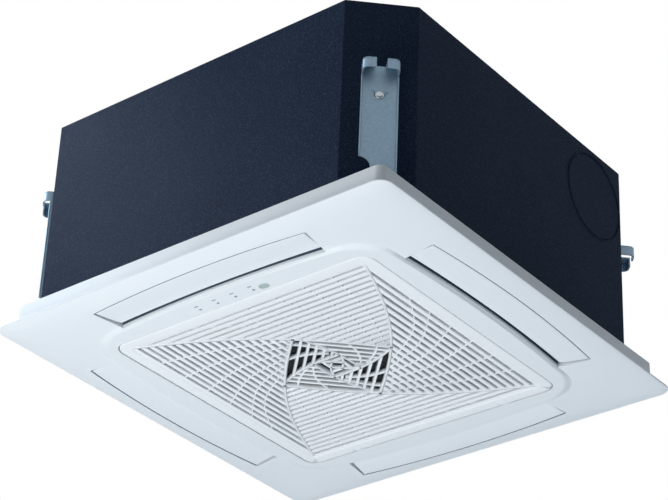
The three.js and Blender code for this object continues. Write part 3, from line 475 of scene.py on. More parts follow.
@dataclass(frozen=True)
class WovenNet(Finish):
    """A net of crossed threads."""

    pitch: float = 0.0012
    gap: Colour = (0.004, 0.005, 0.006)

    def pattern(self, desk: NodeDesk, place: Socket, colour: Socket,
                height: Socket) -> tuple[Socket, Socket]:
        """Crosses two sets of threads.

        Args:
            desk: The material's desk.
            place: Coordinates in metres.
            colour: The thread's tone.
            height: The grain's height.

        Returns:
            The net's colour and height.
        """
        threads = [desk.shared(EVEN_RIBS, {"Vector": place, "Direction": direction,
                                           "Pitch": self.pitch}).outputs["Height"]
                   for direction in ((1.0, 0.0, 0.0), (0.0, 1.0, 0.0))]
        net = desk.maths("MAXIMUM", *threads)
        return (desk.blend(desk.remap(net, 0.6, 0.9), (*self.gap, 1.0), colour),
                desk.maths("ADD", height, net))


@dataclass(frozen=True)
class BeadFoam(Finish):
    """Moulded foam with its beads."""

    bead_scale: float = 260.0

    def pattern(self, desk: NodeDesk, place: Socket, colour: Socket,
                height: Socket) -> tuple[Socket, Socket]:
        """Rounds the beads.

        Args:
            desk: The material's desk.
            place: Coordinates in metres.
            colour: The base tone.
            height: The grain's height.

        Returns:
            The unchanged colour and the beads' height.
        """
        beads = desk.add("TexVoronoi", {"Vector": place, "Scale": self.bead_scale,
                                        "Randomness": 0.9})
        domes = desk.remap(beads.outputs["Distance"], 0.0, 0.7, 1.0, 0.0)
        return colour, desk.maths("ADD", desk.maths("MULTIPLY", height, 0.3), domes)


CASING_COAT = SpeckledCoat(
    "casing_coat", "casing", (0.0195, 0.031, 0.059), (0.0156, 0.025, 0.050), 0.45,
    ior=1.06, grain_scale=700.0, grain_depth=0.3, drift_scale=5.0, dust=0.04,
    fleck=(0.090, 0.130, 0.200), fleck_scale=620.0, fleck_share=0.5)
ZINC_SHEET = ZincSheet(
    "zinc_sheet", "galvanised", (0.25, 0.36, 0.46), (0.22, 0.33, 0.43), 0.5, metallic=0.55,
    grain_depth=0.08, crystal=(0.34, 0.46, 0.56), crystal_scale=420.0, crystal_share=0.4,
    dust=0.04)
PANEL_WHITE = Finish(
    "panel_white", "panel", (0.86, 0.89, 0.915), (0.85, 0.882, 0.908), 0.36,
    specular=0.45, grain_scale=1400.0, grain_depth=0.05, drift_scale=3.0, dust=0.1,
    dust_colour=(0.6, 0.59, 0.56))
GRILLE_WHITE = Finish(
    "grille_white", "grille", (0.94, 0.955, 0.965), (0.925, 0.942, 0.955), 0.34,
    specular=0.45, grain_scale=1500.0, grain_depth=0.04, drift_scale=4.0)
PAN_FOAM = BeadFoam(
    "pan_foam", "foam", (0.66, 0.68, 0.69), (0.60, 0.62, 0.64), 0.85, grain_depth=0.5)
LINER_FOAM = Finish(
    "liner_foam", "liner", (0.026, 0.028, 0.032), (0.018, 0.02, 0.023), 0.95,
    grain_scale=420.0, grain_depth=0.6)
COPPER_TUBE = Finish(
    "copper_tube", "copper", (0.62, 0.24, 0.115), (0.42, 0.145, 0.06), 0.3,
    roughness_spread=0.12, metallic=1.0, drift_scale=38.0, grain_scale=260.0)
# The groove tones below are painted shade in the grooves between the nut's ribs and between the
# coil's fins.
NUT_BRASS = RibbedStock(
    "nut_brass", "brass", (0.62, 0.43, 0.15), (0.5, 0.33, 0.1), 0.3, metallic=1.0,
    direction=(0.0, 1.0, 0.0), pitch=0.0009, groove=(0.36, 0.23, 0.07), grain_depth=0.06)
FIN_STOCK = RibbedStock(
    "fin_stock", "aluminium", (0.55, 0.6, 0.63), (0.45, 0.5, 0.53), 0.42, metallic=0.85,
    direction=(1.0, 1.0, 0.0), pitch=0.0017, groove=(0.03, 0.035, 0.04), grain_depth=0.5)
MOTOR_CAN = ZincSheet(
    "motor_can", "aluminium", (0.40, 0.44, 0.47), (0.32, 0.36, 0.39), 0.42, metallic=0.8,
    grain_depth=0.1, crystal=(0.5, 0.55, 0.6), crystal_scale=300.0, crystal_share=0.25)
PLATED_STEEL = Finish(
    "plated_steel", "steel", (0.46, 0.5, 0.53), (0.34, 0.38, 0.41), 0.32, metallic=0.95,
    grain_scale=500.0, drift_scale=60.0)
DARK_MOULDING = Finish(
    "dark_moulding", "dark_plastic", (0.017, 0.02, 0.024), (0.011, 0.013, 0.016), 0.5,
    grain_scale=800.0, grain_depth=0.16)
GREY_MOULDING = Finish(
    "grey_moulding", "grey_plastic", (0.31, 0.34, 0.37), (0.26, 0.29, 0.32), 0.45,
    grain_scale=1000.0, grain_depth=0.1)
BOARD_COAT = WovenNet(
    "board_coat", "board", (0.02, 0.16, 0.06), (0.012, 0.11, 0.04), 0.35, pitch=0.006,
    gap=(0.01, 0.075, 0.03), grain_depth=0.08)
# Painted shade: a dark blue-grey for the strips in the shaded slot behind each outlet's inner
# edge and in the shaded gap at each flap's outer edge.
SHADE_STRIP_PAINT = Finish(
    "shade_strip_paint", "dark_plastic", (0.090, 0.135, 0.190), (0.075, 0.115, 0.165), 0.7,
    specular=0.2, grain_scale=900.0, grain_depth=0.2)
FILTER_NET = WovenNet(
    "filter_net", "net", (0.03, 0.036, 0.042), (0.02, 0.025, 0.03), 0.8, grain_depth=0.4)
LAMP_LENS = Finish(
    "lamp_lens", "lamp", (0.36, 0.36, 0.43), (0.30, 0.30, 0.37), 0.22, coat=0.3,
    grain_depth=0.03)
RECEIVER_LENS = Finish(
    "receiver_lens", "receiver", (0.48, 0.56, 0.55), (0.42, 0.50, 0.49), 0.2, coat=0.4,
    grain_depth=0.03)
PRINTED_MARK = Finish(
    "printed_mark", "lamp", (0.40, 0.40, 0.49), (0.36, 0.36, 0.45), 0.5, grain_depth=0.03)


# ---------------------------------------------------------------------------- meshes
@dataclass
class Draft:
    """Collects the faces of one piece, in millimetres, before it becomes a mesh."""

    points: list[Point] = field(default_factory=list)
    faces: list[tuple[int, ...]] = field(default_factory=list)

    def loft(self, rings: Sequence[Sequence[Point]], capped: bool = True,
             closed: bool = False) -> "Draft":
        """Joins rings of equal length.

        Args:
            rings: The rings, in order.
            capped: Whether the first and last rings are filled.
            closed: Whether the last ring joins the first.

        Returns:
            This draft.
        """
        start, count, levels = len(self.points), len(rings[0]), len(rings)
        for ring in rings:
            self.points.extend(tuple(p) for p in ring)
        for level in range(levels if closed else levels - 1):
            low, high = start + level * count, start + (level + 1) % levels * count
            for i in range(count):
                j = (i + 1) % count
                self.faces.append((low + i, low + j, high + j, high + i))
        if capped and not closed:
            self.faces.append(tuple(start + i for i in reversed(range(count))))
            self.faces.append(tuple(start + (levels - 1) * count + i for i in range(count)))
        return self

    def prism(self, outline: Sequence[Flat], z0: float, z1: float) -> "Draft":
        """Adds an outline drawn up from z0 to z1, and returns this draft."""
        return self.loft([at_height(outline, z0), at_height(outline, z1)])

    def block(self, x0: float, x1: float, y0: float, y1: float, z0: float,
              z1: float) -> "Draft":
        """Adds a block between two corners, and returns this draft."""
        return self.prism([(x0, y0), (x1, y0), (x1, y1), (x0, y1)], z0, z1)

    def ribbon(self, path: Sequence[Flat], width: float, z0: float, z1: float) -> "Draft":
        """Adds a bar of even width that follows a plane path.

        Args:
            path: The centre line.
            width: The width.
            z0: The foot.
            z1: The top.

        Returns:
            This draft.
        """
        sides: list[list[Flat]] = [[], []]
        for i, (x, y) in enumerate(path):
            x0, y0 = path[max(i - 1, 0)]
            x1, y1 = path[min(i + 1, len(path) - 1)]
            length = math.hypot(x1 - x0, y1 - y0)
            across = ((y0 - y1) / length * width / 2, (x1 - x0) / length * width / 2)
            sides[0].append((x - across[0], y - across[1]))
            sides[1].append((x + across[0], y + across[1]))
        rings = [[(*a, z0), (*b, z0), (*b, z1), (*a, z1)] for a, b in zip(*sides)]
        return self.loft(rings)

    def turned(self, profile: Sequence[Flat], sides: int, centre: Flat = (0.0, 0.0),
               closed: bool = False) -> "Draft":
        """Adds a solid turned about a vertical line.

        Args:
            profile: Radius and height of each corner.
            sides: How many facets go round.
            centre: Where the line stands.
            closed: Whether the profile's last corner joins its first.

        Returns:
            This draft.
        """
        rings = [[(centre[0] + r * math.cos(math.tau * i / sides),
                   centre[1] + r * math.sin(math.tau * i / sides), z)
                  for i in range(sides)] for r, z in profile]
        return self.loft(rings, closed=closed)

    def tube(self, path: Sequence[Point], radius: float, sides: int = 20) -> "Draft":
        """Adds a round bar along a smooth path.

        Args:
            path: The points that it passes through.
            radius: Its radius.
            sides: How many facets go round.

        Returns:
            This draft.
        """
        rings = []
        side = None
        for i, here in enumerate(path):
            ahead = Vector(path[min(i + 1, len(path) - 1)]) - Vector(path[max(i - 1, 0)])
            ahead.normalize()
            if side is None:
                side = ahead.orthogonal().normalized()
            side = (side - ahead * side.dot(ahead)).normalized()
            other = ahead.cross(side)
            rings.append([
                tuple(Vector(here) + side * (radius * math.cos(math.tau * k / sides))
                      + other * (radius * math.sin(math.tau * k / sides)))
                for k in range(sides)])
        return self.loft(rings)

    def moved(self, matrix: Matrix) -> "Draft":
        """Returns a copy of this draft carried by a matrix in millimetres."""
        carried = [tuple(matrix @ Vector(p)) for p in self.points]
        return Draft(carried, list(self.faces))

    def with_all(self, drafts: Sequence["Draft"]) -> "Draft":
        """Adds the faces of other drafts.

        Args:
            drafts: The other drafts.

        Returns:
            This draft.
        """
        for draft in drafts:
            start = len(self.points)
            self.points.extend(draft.points)
            self.faces.extend(tuple(start + i for i in face) for face in draft.faces)
        return self

    def mesh(self, name: str) -> bpy.types.Mesh:
        """Makes the mesh in metres, facing out.

        Args:
            name: The mesh's name.

        Returns:
            The mesh.
        """
        made = bpy.data.meshes.new(name)
        made.from_pydata([[c * MM for c in p] for p in self.points], [], self.faces)
        work = bmesh.new()
        work.from_mesh(made)
        bmesh.ops.remove_doubles(work, verts=work.verts, dist=MERGE_REACH)
        bmesh.ops.recalc_face_normals(work, faces=work.faces)
        work.to_mesh(made)
        work.free()
        return made

    def place(self, name: str, finish: Finish, body: Body, replaces: Sequence[str] = (),
              bevel: float = 0.0, cutters: Sequence["Draft"] = (),
              plain_after: "Draft | None" = None) -> bpy.types.Object:
        """Makes the piece, dresses it and lets it ride on its body.

        Args:
            name: The piece's name.
            finish: Its finish.
            body: The body that it rides on.
            replaces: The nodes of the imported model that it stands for.
            bevel: How far its sharp edges are broken, in millimetres.
            cutters: Solids that are cut out of it.
            plain_after: More of the piece, added once the cuts are made.

        Returns:
            The new object.
        """
        thing = bpy.data.objects.new(name, self.mesh(name))
        bpy.context.scene.collection.objects.link(thing)
        for cutter in cutters:
            cut_away(thing, cutter)
        if plain_after:
            join_mesh(thing, plain_after)
        thing.data.polygons.foreach_set("use_smooth", [True] * len(thing.data.polygons))
        if bevel:
            edge = thing.modifiers.new("broken_edges", "BEVEL")
            edge.width = bevel * MM
            edge.segments = BEVEL_STEPS
            edge.limit_method = "ANGLE"
            edge.angle_limit = math.radians(BEVEL_ANGLE)
            edge.use_clamp_overlap = True
        even = thing.modifiers.new("even_shading", "WEIGHTED_NORMAL")
        even.keep_sharp = True
        even.weight = FACE_WEIGHT
        thing.data.materials.clear()
        thing.data.materials.append(finish.material())
        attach(thing, body.value)
        if replaces:
            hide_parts(*replaces)
        LOG.info("%s: %d points on %s", name, len(thing.data.vertices), body.value)
        return thing


def cut_away(thing: bpy.types.Object, cutter: Draft) -> None:
    """Cuts a draft's solid out of an object's mesh.

    Args:
        thing: The piece to cut.
        cutter: The solids that go.
    """
    tool = bpy.data.objects.new("cutter", cutter.mesh("cutter"))
    bpy.context.scene.collection.objects.link(tool)
    step = thing.modifiers.new("cut", "BOOLEAN")
    step.operation = "DIFFERENCE"
    step.solver = "EXACT"
    step.object = tool
    bpy.context.view_layer.update()
    graph = bpy.context.evaluated_depsgraph_get()
    carved = bpy.data.meshes.new_from_object(thing.evaluated_get(graph))
    thing.modifiers.remove(step)
    thing.data = carved
    bpy.data.objects.remove(tool)


def join_mesh(thing: bpy.types.Object, draft: Draft) -> None:
    """Adds a draft's faces to an object's mesh.

    Args:
        thing: The piece that takes the geometry.
        draft: The geometry.
    """
    work = bmesh.new()
    work.from_mesh(thing.data)
    work.from_mesh(draft.mesh("more"))
    work.to_mesh(thing.data)
    work.free()


def at_height(outline: Sequence[Flat], z: float) -> list[Point]:
    """Lifts a plane outline to a height."""
    return [(x, y, z) for x, y in outline]


def spread(steps: int) -> list[float]:
    """Returns even stations from -1 to 1."""
    return [2 * i / steps - 1 for i in range(steps + 1)]


def smooth(t: float) -> float:
    """Eases a share from 0 to 1."""
    return t * t * (3 - 2 * t)


def quarter(draft: Draft, side: int) -> Draft:
    """Turns a draft of the front side to another side, anticlockwise."""
    return draft.moved(Matrix.Rotation(side * QUARTER, 4, "Z"))


def soft_square(reach: float, corner: float, bow: float = 0.0, corner_steps: int = 12,
                edge_steps: int = 16) -> list[Flat]:
    """Draws a square with round corners and edges that bow outwards.

    Args:
        reach: From the centre to the ends of an edge.
        corner: The corner's radius.
        bow: How far the middle of an edge stands out.
        corner_steps: Facets in a corner.
        edge_steps: Facets along an edge.

    Returns:
        The outline, anticlockwise.
    """
    points = []
    straight = reach - corner
    for side in range(4):
        c, s = math.cos(side * QUARTER), math.sin(side * QUARTER)
        run = []
        for i in range(edge_steps):
            along = straight * (2 * i / edge_steps - 1)
            run.append((reach + bow * (1 - (along / straight) ** 2), along))
        for i in range(corner_steps):
            angle = i / corner_steps * QUARTER
            run.append((straight + corner * math.cos(angle),
                        straight + corner * math.sin(angle)))
        points += [(x * c - y * s, x * s + y * c) for x, y in run]
    return points


def rounded(outline: Sequence[Flat], radius: float, steps: int = 4) -> list[Flat]:
    """Rounds the corners of a convex outline.

    Args:
        outline: The sharp outline.
        radius: The corners' radius.
        steps: Facets in a corner.

    Returns:
        The rounded outline.
    """
    made: list[Flat] = []
    count = len(outline)
    for i in range(count):
        here = Vector(outline[i])
        back = (Vector(outline[i - 1]) - here).normalized()
        ahead = (Vector(outline[(i + 1) % count]) - here).normalized()
        half_angle = back.angle(ahead) / 2
        middle = (back + ahead).normalized() * (radius / math.sin(half_angle))
        reach = radius / math.tan(half_angle)
        start, end = here + back * reach, here + ahead * reach
        centre = here + middle
        for k in range(steps + 1):
            arm = (start - centre).lerp(end - centre, k / steps).normalized() * radius
            made.append(tuple(centre + arm))
    return made


def bezier(a: Flat, b: Flat, c: Flat, d: Flat, steps: int) -> list[Flat]:
    """Samples a cubic curve.

    Args:
        a: Its start.
        b: Its first handle.
        c: Its second handle.
        d: Its end.
        steps: How many stretches it is cut into.

    Returns:
        The points along it.
    """
    made = []
    for i in range(steps + 1):
        t = i / steps
        u = 1 - t
        made.append(tuple(
            u ** 3 * a[k] + 3 * u * u * t * b[k] + 3 * u * t * t * c[k] + t ** 3 * d[k]
            for k in range(2)))
    return made


def height_at(path: Sequence[Flat], x: float) -> float:
    """Finds y on a path whose x only grows.

    Args:
        path: The path.
        x: Where to read it.

    Returns:
        The path's y there, or its end's beyond it.
    """
    if x <= path[0][0]:
        return path[0][1]
    for (x0, y0), (x1, y1) in zip(path, path[1:]):
        if x <= x1:
            return y0 + (y1 - y0) * (x - x0) / (x1 - x0)
    return path[-1][1]


def dress(nodes: Sequence[str], finish: Finish) -> None:
    """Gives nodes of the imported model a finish.

    Args:
        nodes: Names of the nodes.
        finish: Their material.
    """
    for name in nodes:
        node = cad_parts[name]
        node.data.materials.clear()
        node.data.materials.append(finish.material())
        LOG.info("%s: dressed in %s", name, finish.name)


# ---------------------------------------------------------------------------- casing
@dataclass
class Casing:
    """The eight-sided sheet casing with its knock-out."""

    half: float = 291.5
    foot: float = 46.8
    top: float = 307.0
    near: float = 64.0
    right: float = 69.0
    far: float = 64.0
    left: float = 43.0
    sheet: float = 1.5
    fold: float = 2.0
    fold_loss: float = 0.6
    top_edge: Profile = ((0.0, 1.6), (0.25, 0.7), (0.8, 0.2), (1.8, 0.0))  # in and down
    cut_reach: float = 4.0
    duct_radius: float = 59.0
    duct_along: float = 158.6
    duct_height: float = 236.8
    groove: float = 1.5
    groove_share: float = 0.8
    groove_steps: int = 48
    tab_angle: float = 38.0
    tab: float = 7.0
    bead: Flat = (1.5, 0.9)
    bead_root: float = -0.3
    bead_shares: Profile = ((0.1, 0.6), (0.35, 1.0), (0.65, 1.0), (0.9, 0.6))
    service_centre: Flat = (-95.0, 196.8)
    service_size: Flat = (76.0, 48.0)
    drain_centre: Flat = (-190.0, 236.8)
    drain_hole: float = 12.3
    drain_reach: float = 5.0

    def plan(self, inset: float) -> list[Flat]:
        """Draws the plan, drawn in evenly from the outer face.

        Args:
            inset: How far the plan is drawn in.

        Returns:
            The outline.
        """
        h = self.half - inset
        near, right, far, left = (
            chamfer - inset * (2 - math.sqrt(2))
            for chamfer in (self.near, self.right, self.far, self.left))
        corners = [(-h + left, -h), (h - near, -h), (h, -h + near), (h, h - right),
                   (h - right, h), (-h + far, h), (-h, h - far), (-h, -h + left)]
        return rounded(corners, self.fold - min(inset, self.fold) * self.fold_loss)

    def openings(self) -> list[Draft]:
        """Draws what is cut out of the walls.

        Returns:
            One cutter per opening.
        """
        groove = Draft()
        half_tab = math.degrees(self.tab / 2 / self.duct_radius)
        sweep = math.radians(180 - 2 * half_tab)
        for turn in (0, 180):
            start = math.radians(self.tab_angle + turn + half_tab)
            angles = [start + sweep * i / self.groove_steps for i in range(self.groove_steps + 1)]
            groove.ribbon([(self.duct_radius * math.cos(a), self.duct_radius * math.sin(a))
                           for a in angles],
                          self.groove, -self.sheet * self.groove_share, self.cut_reach)
        wide, tall = self.service_size
        x, z = self.service_centre
        service = Draft().block(x - wide / 2, x + wide / 2, self.half - self.cut_reach,
                                self.half + self.cut_reach, z - tall / 2, z + tall / 2)
        drain = Draft().turned([(self.drain_hole, -self.drain_reach),
                                (self.drain_hole, self.drain_reach)], sides=48)
        x, z = self.drain_centre
        drain = drain.moved(Matrix.Translation((x, self.half, z))
                            @ Matrix.Rotation(QUARTER, 4, "X"))
        return [groove.moved(self.duct_place()), service, drain]

    def duct_place(self) -> Matrix:
        """Returns the matrix that lays a flat ring on the right wall at the knock-out."""
        return (Matrix.Translation((self.half, self.duct_along, self.duct_height))
                @ Matrix.Rotation(QUARTER, 4, "Y"))

    def duct_bead(self) -> Draft:
        """Draws the bead pressed round the knock-out.

        Returns:
            The ring.
        """
        wide, tall = self.bead
        start = self.duct_radius + self.groove
        profile = [(start, self.bead_root),
                   *[(start + wide * out, tall * up) for out, up in self.bead_shares],
                   (start + wide, self.bead_root)]
        return Draft().turned(profile, sides=96, closed=True).moved(self.duct_place())

    def build(self) -> None:
        """Makes the shell as one folded and welded sheet."""
        rings = [(self.sheet, self.top - self.sheet), (self.sheet, self.foot), (0.0, self.foot),
                 *[(inset, self.top - drop) for inset, drop in self.top_edge]]
        shell = Draft().loft([at_height(self.plan(inset), z) for inset, z in rings])
        shell.place("casing_shell", CASING_COAT, Body.UNIT,
                    replaces=("casing_wall", "top_plate", "duct_knockout"),
                    cutters=self.openings(), plain_after=self.duct_bead())
        dress(["casing_liner"], LINER_FOAM)


# ---------------------------------------------------------------------------- hangers
@dataclass
class Hanger:
    """One pressed corner bracket with its screw."""

    name: str
    angle: float
    chamfer: float
    reach: float
    width: float = 45.0
    sheet: float = 2.0
    foot: float = 48.0
    top: float = 211.0
    lip: float = 14.0
    slot: float = 13.0
    corner: float = 8.0
    corner_steps: int = 8
    rim: float = 1.6
    rim_start: float = 3.0
    rim_ease: float = 4.0
    rim_shares: Point = (0.3, 0.55, 0.75)  # height of ends and middle, and radius
    bite: float = 14.0
    bite_top: float = 81.0
    bite_steps: int = 10
    weld: float = 1.0
    lip_gap: float = 0.4
    rim_sides: int = 10
    ear_base: Profile = ((4.6, 5.6), (12.6, 6.2), (6.4, -4.2))
    ear_crest: Flat = (9.0, 3.4)
    ear_tip: Flat = (5.5, -3.0)
    ear_depths: Point = (-0.2, 1.5, 0.1)
    screw_height: float = 168.8
    shank: Flat = (2.4, 1.8)
    washer: Profile = ((5.2, 0.0), (5.4, 0.3), (5.0, 0.9), (3.2, 1.2))
    head: Profile = ((4.1, 1.0), (4.1, 2.6), (3.5, 3.0))
    dimple: Profile = ((1.6, 2.6), (1.6, 3.05))
    fit: float = 0.3

    def strap(self) -> Draft:
        """Draws the flat strap with its bite and screw hole, lying in the YZ plane.

        Returns:
            The strap.
        """
        edge = self.width / 2
        outline: list[Flat] = [(-edge + self.bite, self.foot), (edge, self.foot),
                               (edge, self.top - self.weld), (-edge, self.top - self.weld),
                               (-edge, self.bite_top)]
        for i in range(1, self.bite_steps):
            angle = QUARTER - i / self.bite_steps * QUARTER
            outline.append((-edge + self.bite * math.cos(angle),
                            self.bite_top - self.bite + self.bite * math.sin(angle)))
        upright = Draft().prism(outline, 0, self.sheet)
        return upright.moved(Matrix(((0, 0, 1, 0), (1, 0, 0, 0), (0, 1, 0, 0), (0, 0, 0, 1))))

    def rims(self) -> list[Draft]:
        """Draws the strap's rolled edges.

        Returns:
            Both rims.
        """
        end, middle, thick = (self.rim * share for share in self.rim_shares)
        head = self.top - self.lip
        made = []
        for side in (-1, 1):
            y = side * (self.width / 2 - self.rim / 2)
            foot = (self.bite_top if side < 0 else self.foot) + self.rim_start
            made.append(Draft().tube([
                (self.sheet + end, y, foot), (self.sheet + middle, y, foot + self.rim_ease),
                (self.sheet + middle, y, head - self.rim_ease), (self.sheet + end, y, head)],
                thick, self.rim_sides))
        return made

    def lug(self) -> list[Draft]:
        """Draws the slotted lug and its turned-down lips.

        Returns:
            The plate and its lips.
        """
        edge = self.width / 2
        angles = [-QUARTER + i / self.corner_steps * QUARTER
                  for i in range(1, self.corner_steps + 1)]
        outer = [(0.0, -edge), (self.reach - self.corner, -edge)]
        for angle in angles:
            outer.append((self.reach - self.corner + self.corner * math.cos(angle),
                          -edge + self.corner + self.corner * math.sin(angle)))
        tab_edge = -self.slot / 2
        half_lug = [*outer, (self.reach, tab_edge), (self.sheet, tab_edge), (self.sheet, 0.0),
                    (0.0, 0.0)]
        mirrored = [(x, -y) for x, y in reversed(half_lug)]
        made = [Draft().prism(outline, self.top - self.sheet, self.top)
                for outline in (half_lug, mirrored)]
        wall = self.sheet
        turn = self.corner - wall / 2
        for side in (-1, 1):
            path = [(0.0, side * (edge - wall / 2)),
                    (self.reach - self.corner, side * (edge - wall / 2))]
            for angle in angles:
                path.append((self.reach - self.corner + turn * math.cos(angle),
                             side * (edge - self.corner - turn * math.sin(angle))))
            path.append((self.reach - wall / 2, side * self.slot / 2))
            made.append(Draft().ribbon(path, wall, self.top - self.lip, self.top - self.lip_gap))
        return made

    def ears(self) -> list[Draft]:
        """Draws the two ribs pressed beside the screw.

        Returns:
            Both ears.
        """
        root, crest, tip = self.ear_depths
        corners = [*[(root, *corner) for corner in self.ear_base], (crest, *self.ear_crest),
                   (tip, *self.ear_tip)]
        faces = [(0, 1, 3), (1, 2, 4, 3), (2, 0, 3, 4), (0, 2, 1)]  # corners by number
        return [Draft([(self.sheet + depth, side * across, self.screw_height + up)
                       for depth, across, up in corners], faces) for side in (-1, 1)]

    def screw(self) -> Draft:
        """Draws the flanged hexagon screw, standing along X.

        Returns:
            The screw.
        """
        base = self.sheet + self.fit
        radius, depth = self.shank
        made = Draft().turned([(radius, -depth), (radius, base)], sides=16)
        for profile, sides in ((self.washer, 28), (self.head, 6), (self.dimple, 20)):
            made.turned([(r, base + up) for r, up in profile], sides)
        return made

    def build(self, half: float) -> None:
        """Makes the bracket and its screw.

        Args:
            half: Half the casing's width.
        """
        seat = (2 * half - self.chamfer) / math.sqrt(2) + self.fit
        place = (Matrix.Rotation(math.radians(self.angle), 4, "Z")
                 @ Matrix.Translation((seat, 0, 0)))
        bracket = self.strap().with_all([*self.lug(), *self.rims(), *self.ears()])
        bracket.moved(place).place(
            f"bracket_{self.name}", ZINC_SHEET, Body.UNIT,
            replaces=(f"hanger_bracket_{self.name}",), bevel=0.35)
        upright = Matrix.Translation((0, 0, self.screw_height)) @ Matrix.Rotation(
            QUARTER, 4, "Y")
        self.screw().moved(place @ upright).place(
            f"screw_{self.name}", PLATED_STEEL, Body.UNIT,
            replaces=(f"hanger_screw_{self.name}",), bevel=0.2)


# ---------------------------------------------------------------------------- panel
@dataclass
class Panel:
    """The square panel with its outlets, ring, band and hinge ears."""

    half: float = 310.0
    corner: float = 18.0
    lip: float = 9.5
    ledge: float = 12.5
    band_half: float = 291.5
    band_wall: float = 3.5
    band_corner: float = 10.0
    band_top: float = 46.5
    plate_top: float = 12.0
    plate_drop: float = 4.3
    plate_edge: Point = (8.0, 10.0, 0.05)  # out, more corner and rise past the outlets
    brink: Profile = ((9.0, 2.2), (4.0, 1.1))  # in and down of each ring
    edge_radius: float = 1.6
    edge_start: float = -1.2  # radians
    edge_steps: int = 6
    fillet: Profile = ((1.6, 0.0), (0.5, 0.4), (0.0, 1.6))  # out and up of each ring
    band_round: float = 0.8
    band_inner_corner: float = 8.0
    bow: float = 7.0
    ring_half: float = 226.6
    ring_corner: float = 68.0
    ring_rim: float = 1.2
    flank: float = 2.3
    flank_corner: float = 45.0
    flank_rise: Flat = (0.1, 0.14)  # start above the face, and loss on the way up
    flank_steps: int = 10
    face: float = 0.04
    outlet_inner: float = 229.0
    outlet_outer: float = 275.0
    outer_bow: float = 9.5
    inner_length: float = 324.0
    outer_length: float = 338.0
    outlet_steps: int = 28
    outlet_cut: Flat = (-5.0, 30.0)
    recess_half: float = 203.5
    recess_corner: float = 19.5
    recess_cut: Flat = (-6.0, 31.0)
    collar_wall: float = 3.5
    collar_heights: Flat = (9.7, 48.3)
    # Painted shade: a dark strip stands in the slot behind each outlet's inner edge.
    shade_strip_gap: float = 0.05
    shade_strip_wall: float = 0.45
    shade_strip_foot: float = 7.9
    latch_along: Flat = (87.7, 104.3)
    latch_bite: float = 2.9
    latch_overcut: float = 1.0
    latch_heights: Flat = (9.9, 14.9)
    ear_along: float = 120.0
    ear_line: Flat = (199.0, 3.2)
    ear_radii: Flat = (1.75, 3.1)
    ear_half: float = 6.0
    ear_root: Four = (201.2, 204.5, 2.0, 6.0)  # two edges, foot and top
    bearing_along: Flat = (165.2, 172.7)
    bearing_block: Four = (-253.9, -242.1, 11.5, 19.9)  # two edges, foot and top

    def outlet(self) -> list[Flat]:
        """Draws an outlet's plan on the front side.

        Returns:
            The outline.
        """
        points = []
        for t in spread(self.outlet_steps):
            points.append((t * self.outer_length / 2,
                           -(self.outlet_outer + self.outer_bow * (1 - t * t))))
        for t in reversed(spread(self.outlet_steps)):
            points.append((t * self.inner_length / 2,
                           -(self.outlet_inner + self.bow * (1 - t * t))))
        return points

    def section(self) -> list[Four]:
        """Lists the rings of the panel, from the ring's face to the top of the plate.

        Returns:
            Reach, corner, bow and height of each ring.
        """
        rings = [(self.ring_half - self.ring_rim, self.ring_corner, self.bow, self.face)]
        start, loss = self.flank_rise
        for i in range(self.flank_steps + 1):
            t = i / self.flank_steps
            rings.append((self.ring_half + self.flank * t,
                          self.ring_corner + (self.flank_corner - self.ring_corner) * t,
                          self.bow, self.face + start + (self.plate_drop - loss) * smooth(t)))
        out, rounder, rise = self.plate_edge
        rings.append((self.outlet_outer + out, self.corner + rounder, self.bow / 2,
                      self.plate_drop + rise))
        rings += [(self.half - inset, self.corner, 0.0, self.lip - drop)
                  for inset, drop in self.brink]
        radius = self.edge_radius
        for i in range(self.edge_steps + 1):
            angle = self.edge_start + i / self.edge_steps * (QUARTER - self.edge_start)
            rings.append((self.half - radius + radius * math.cos(angle), self.corner, 0.0,
                          self.ledge - radius + radius * math.sin(angle)))
        rings += [(self.band_half + out, self.band_corner + out, 0.0, self.ledge + up)
                  for out, up in self.fillet]
        rings += [(self.band_half - inset, self.band_corner - inset, 0.0, self.band_top - drop)
                  for inset, drop in ((0.0, self.band_round), (self.band_round, 0.0))]
        rings += [(self.band_half - self.band_wall, self.band_inner_corner, 0.0, z)
                  for z in (self.band_top, self.plate_top)]
        return rings

    def recess(self, out: float = 0.0) -> list[Flat]:
        """Returns the recess's plan, drawn out evenly."""
        return soft_square(self.recess_half + out, self.recess_corner + out, corner_steps=8,
                           edge_steps=1)

    def holes(self, lamps: "SignalLamps") -> Draft:
        """Draws everything that is cut out of the panel.

        Args:
            lamps: The lamps in the ring.

        Returns:
            The cutter.
        """
        made = Draft()
        for side in range(4):
            made.with_all([quarter(Draft().prism(self.outlet(), *self.outlet_cut), side)])
        made.prism(self.recess(), *self.recess_cut)
        made.with_all([lamps.lamp_hole(i) for i in range(lamps.count)])
        made.with_all([lamps.window(lamps.window_fit, *lamps.cut)])
        return made

    def shade_strip(self) -> Draft:
        """Draws the dark strip of painted shade behind the front outlet's inner edge, in the
        shaded slot there.

        Returns:
            The strip.
        """
        across = self.outlet_inner + self.shade_strip_gap + self.shade_strip_wall / 2
        path = [(t * (self.inner_length / 2 - self.shade_strip_wall),
                 -(across + self.bow * (1 - t * t))) for t in spread(self.outlet_steps)]
        return Draft().ribbon(path, self.shade_strip_wall, self.shade_strip_foot, self.plate_top)

    def latch_pockets(self) -> list[Draft]:
        """Draws the two pockets that the latches slide into.

        Returns:
            Both cutters.
        """
        start, stop = self.latch_along
        reach = self.recess_half + self.latch_bite
        return [Draft().block(*sorted((side * start, side * stop)), -reach,
                              self.latch_overcut - self.recess_half, *self.latch_heights)
                for side in (-1, 1)]

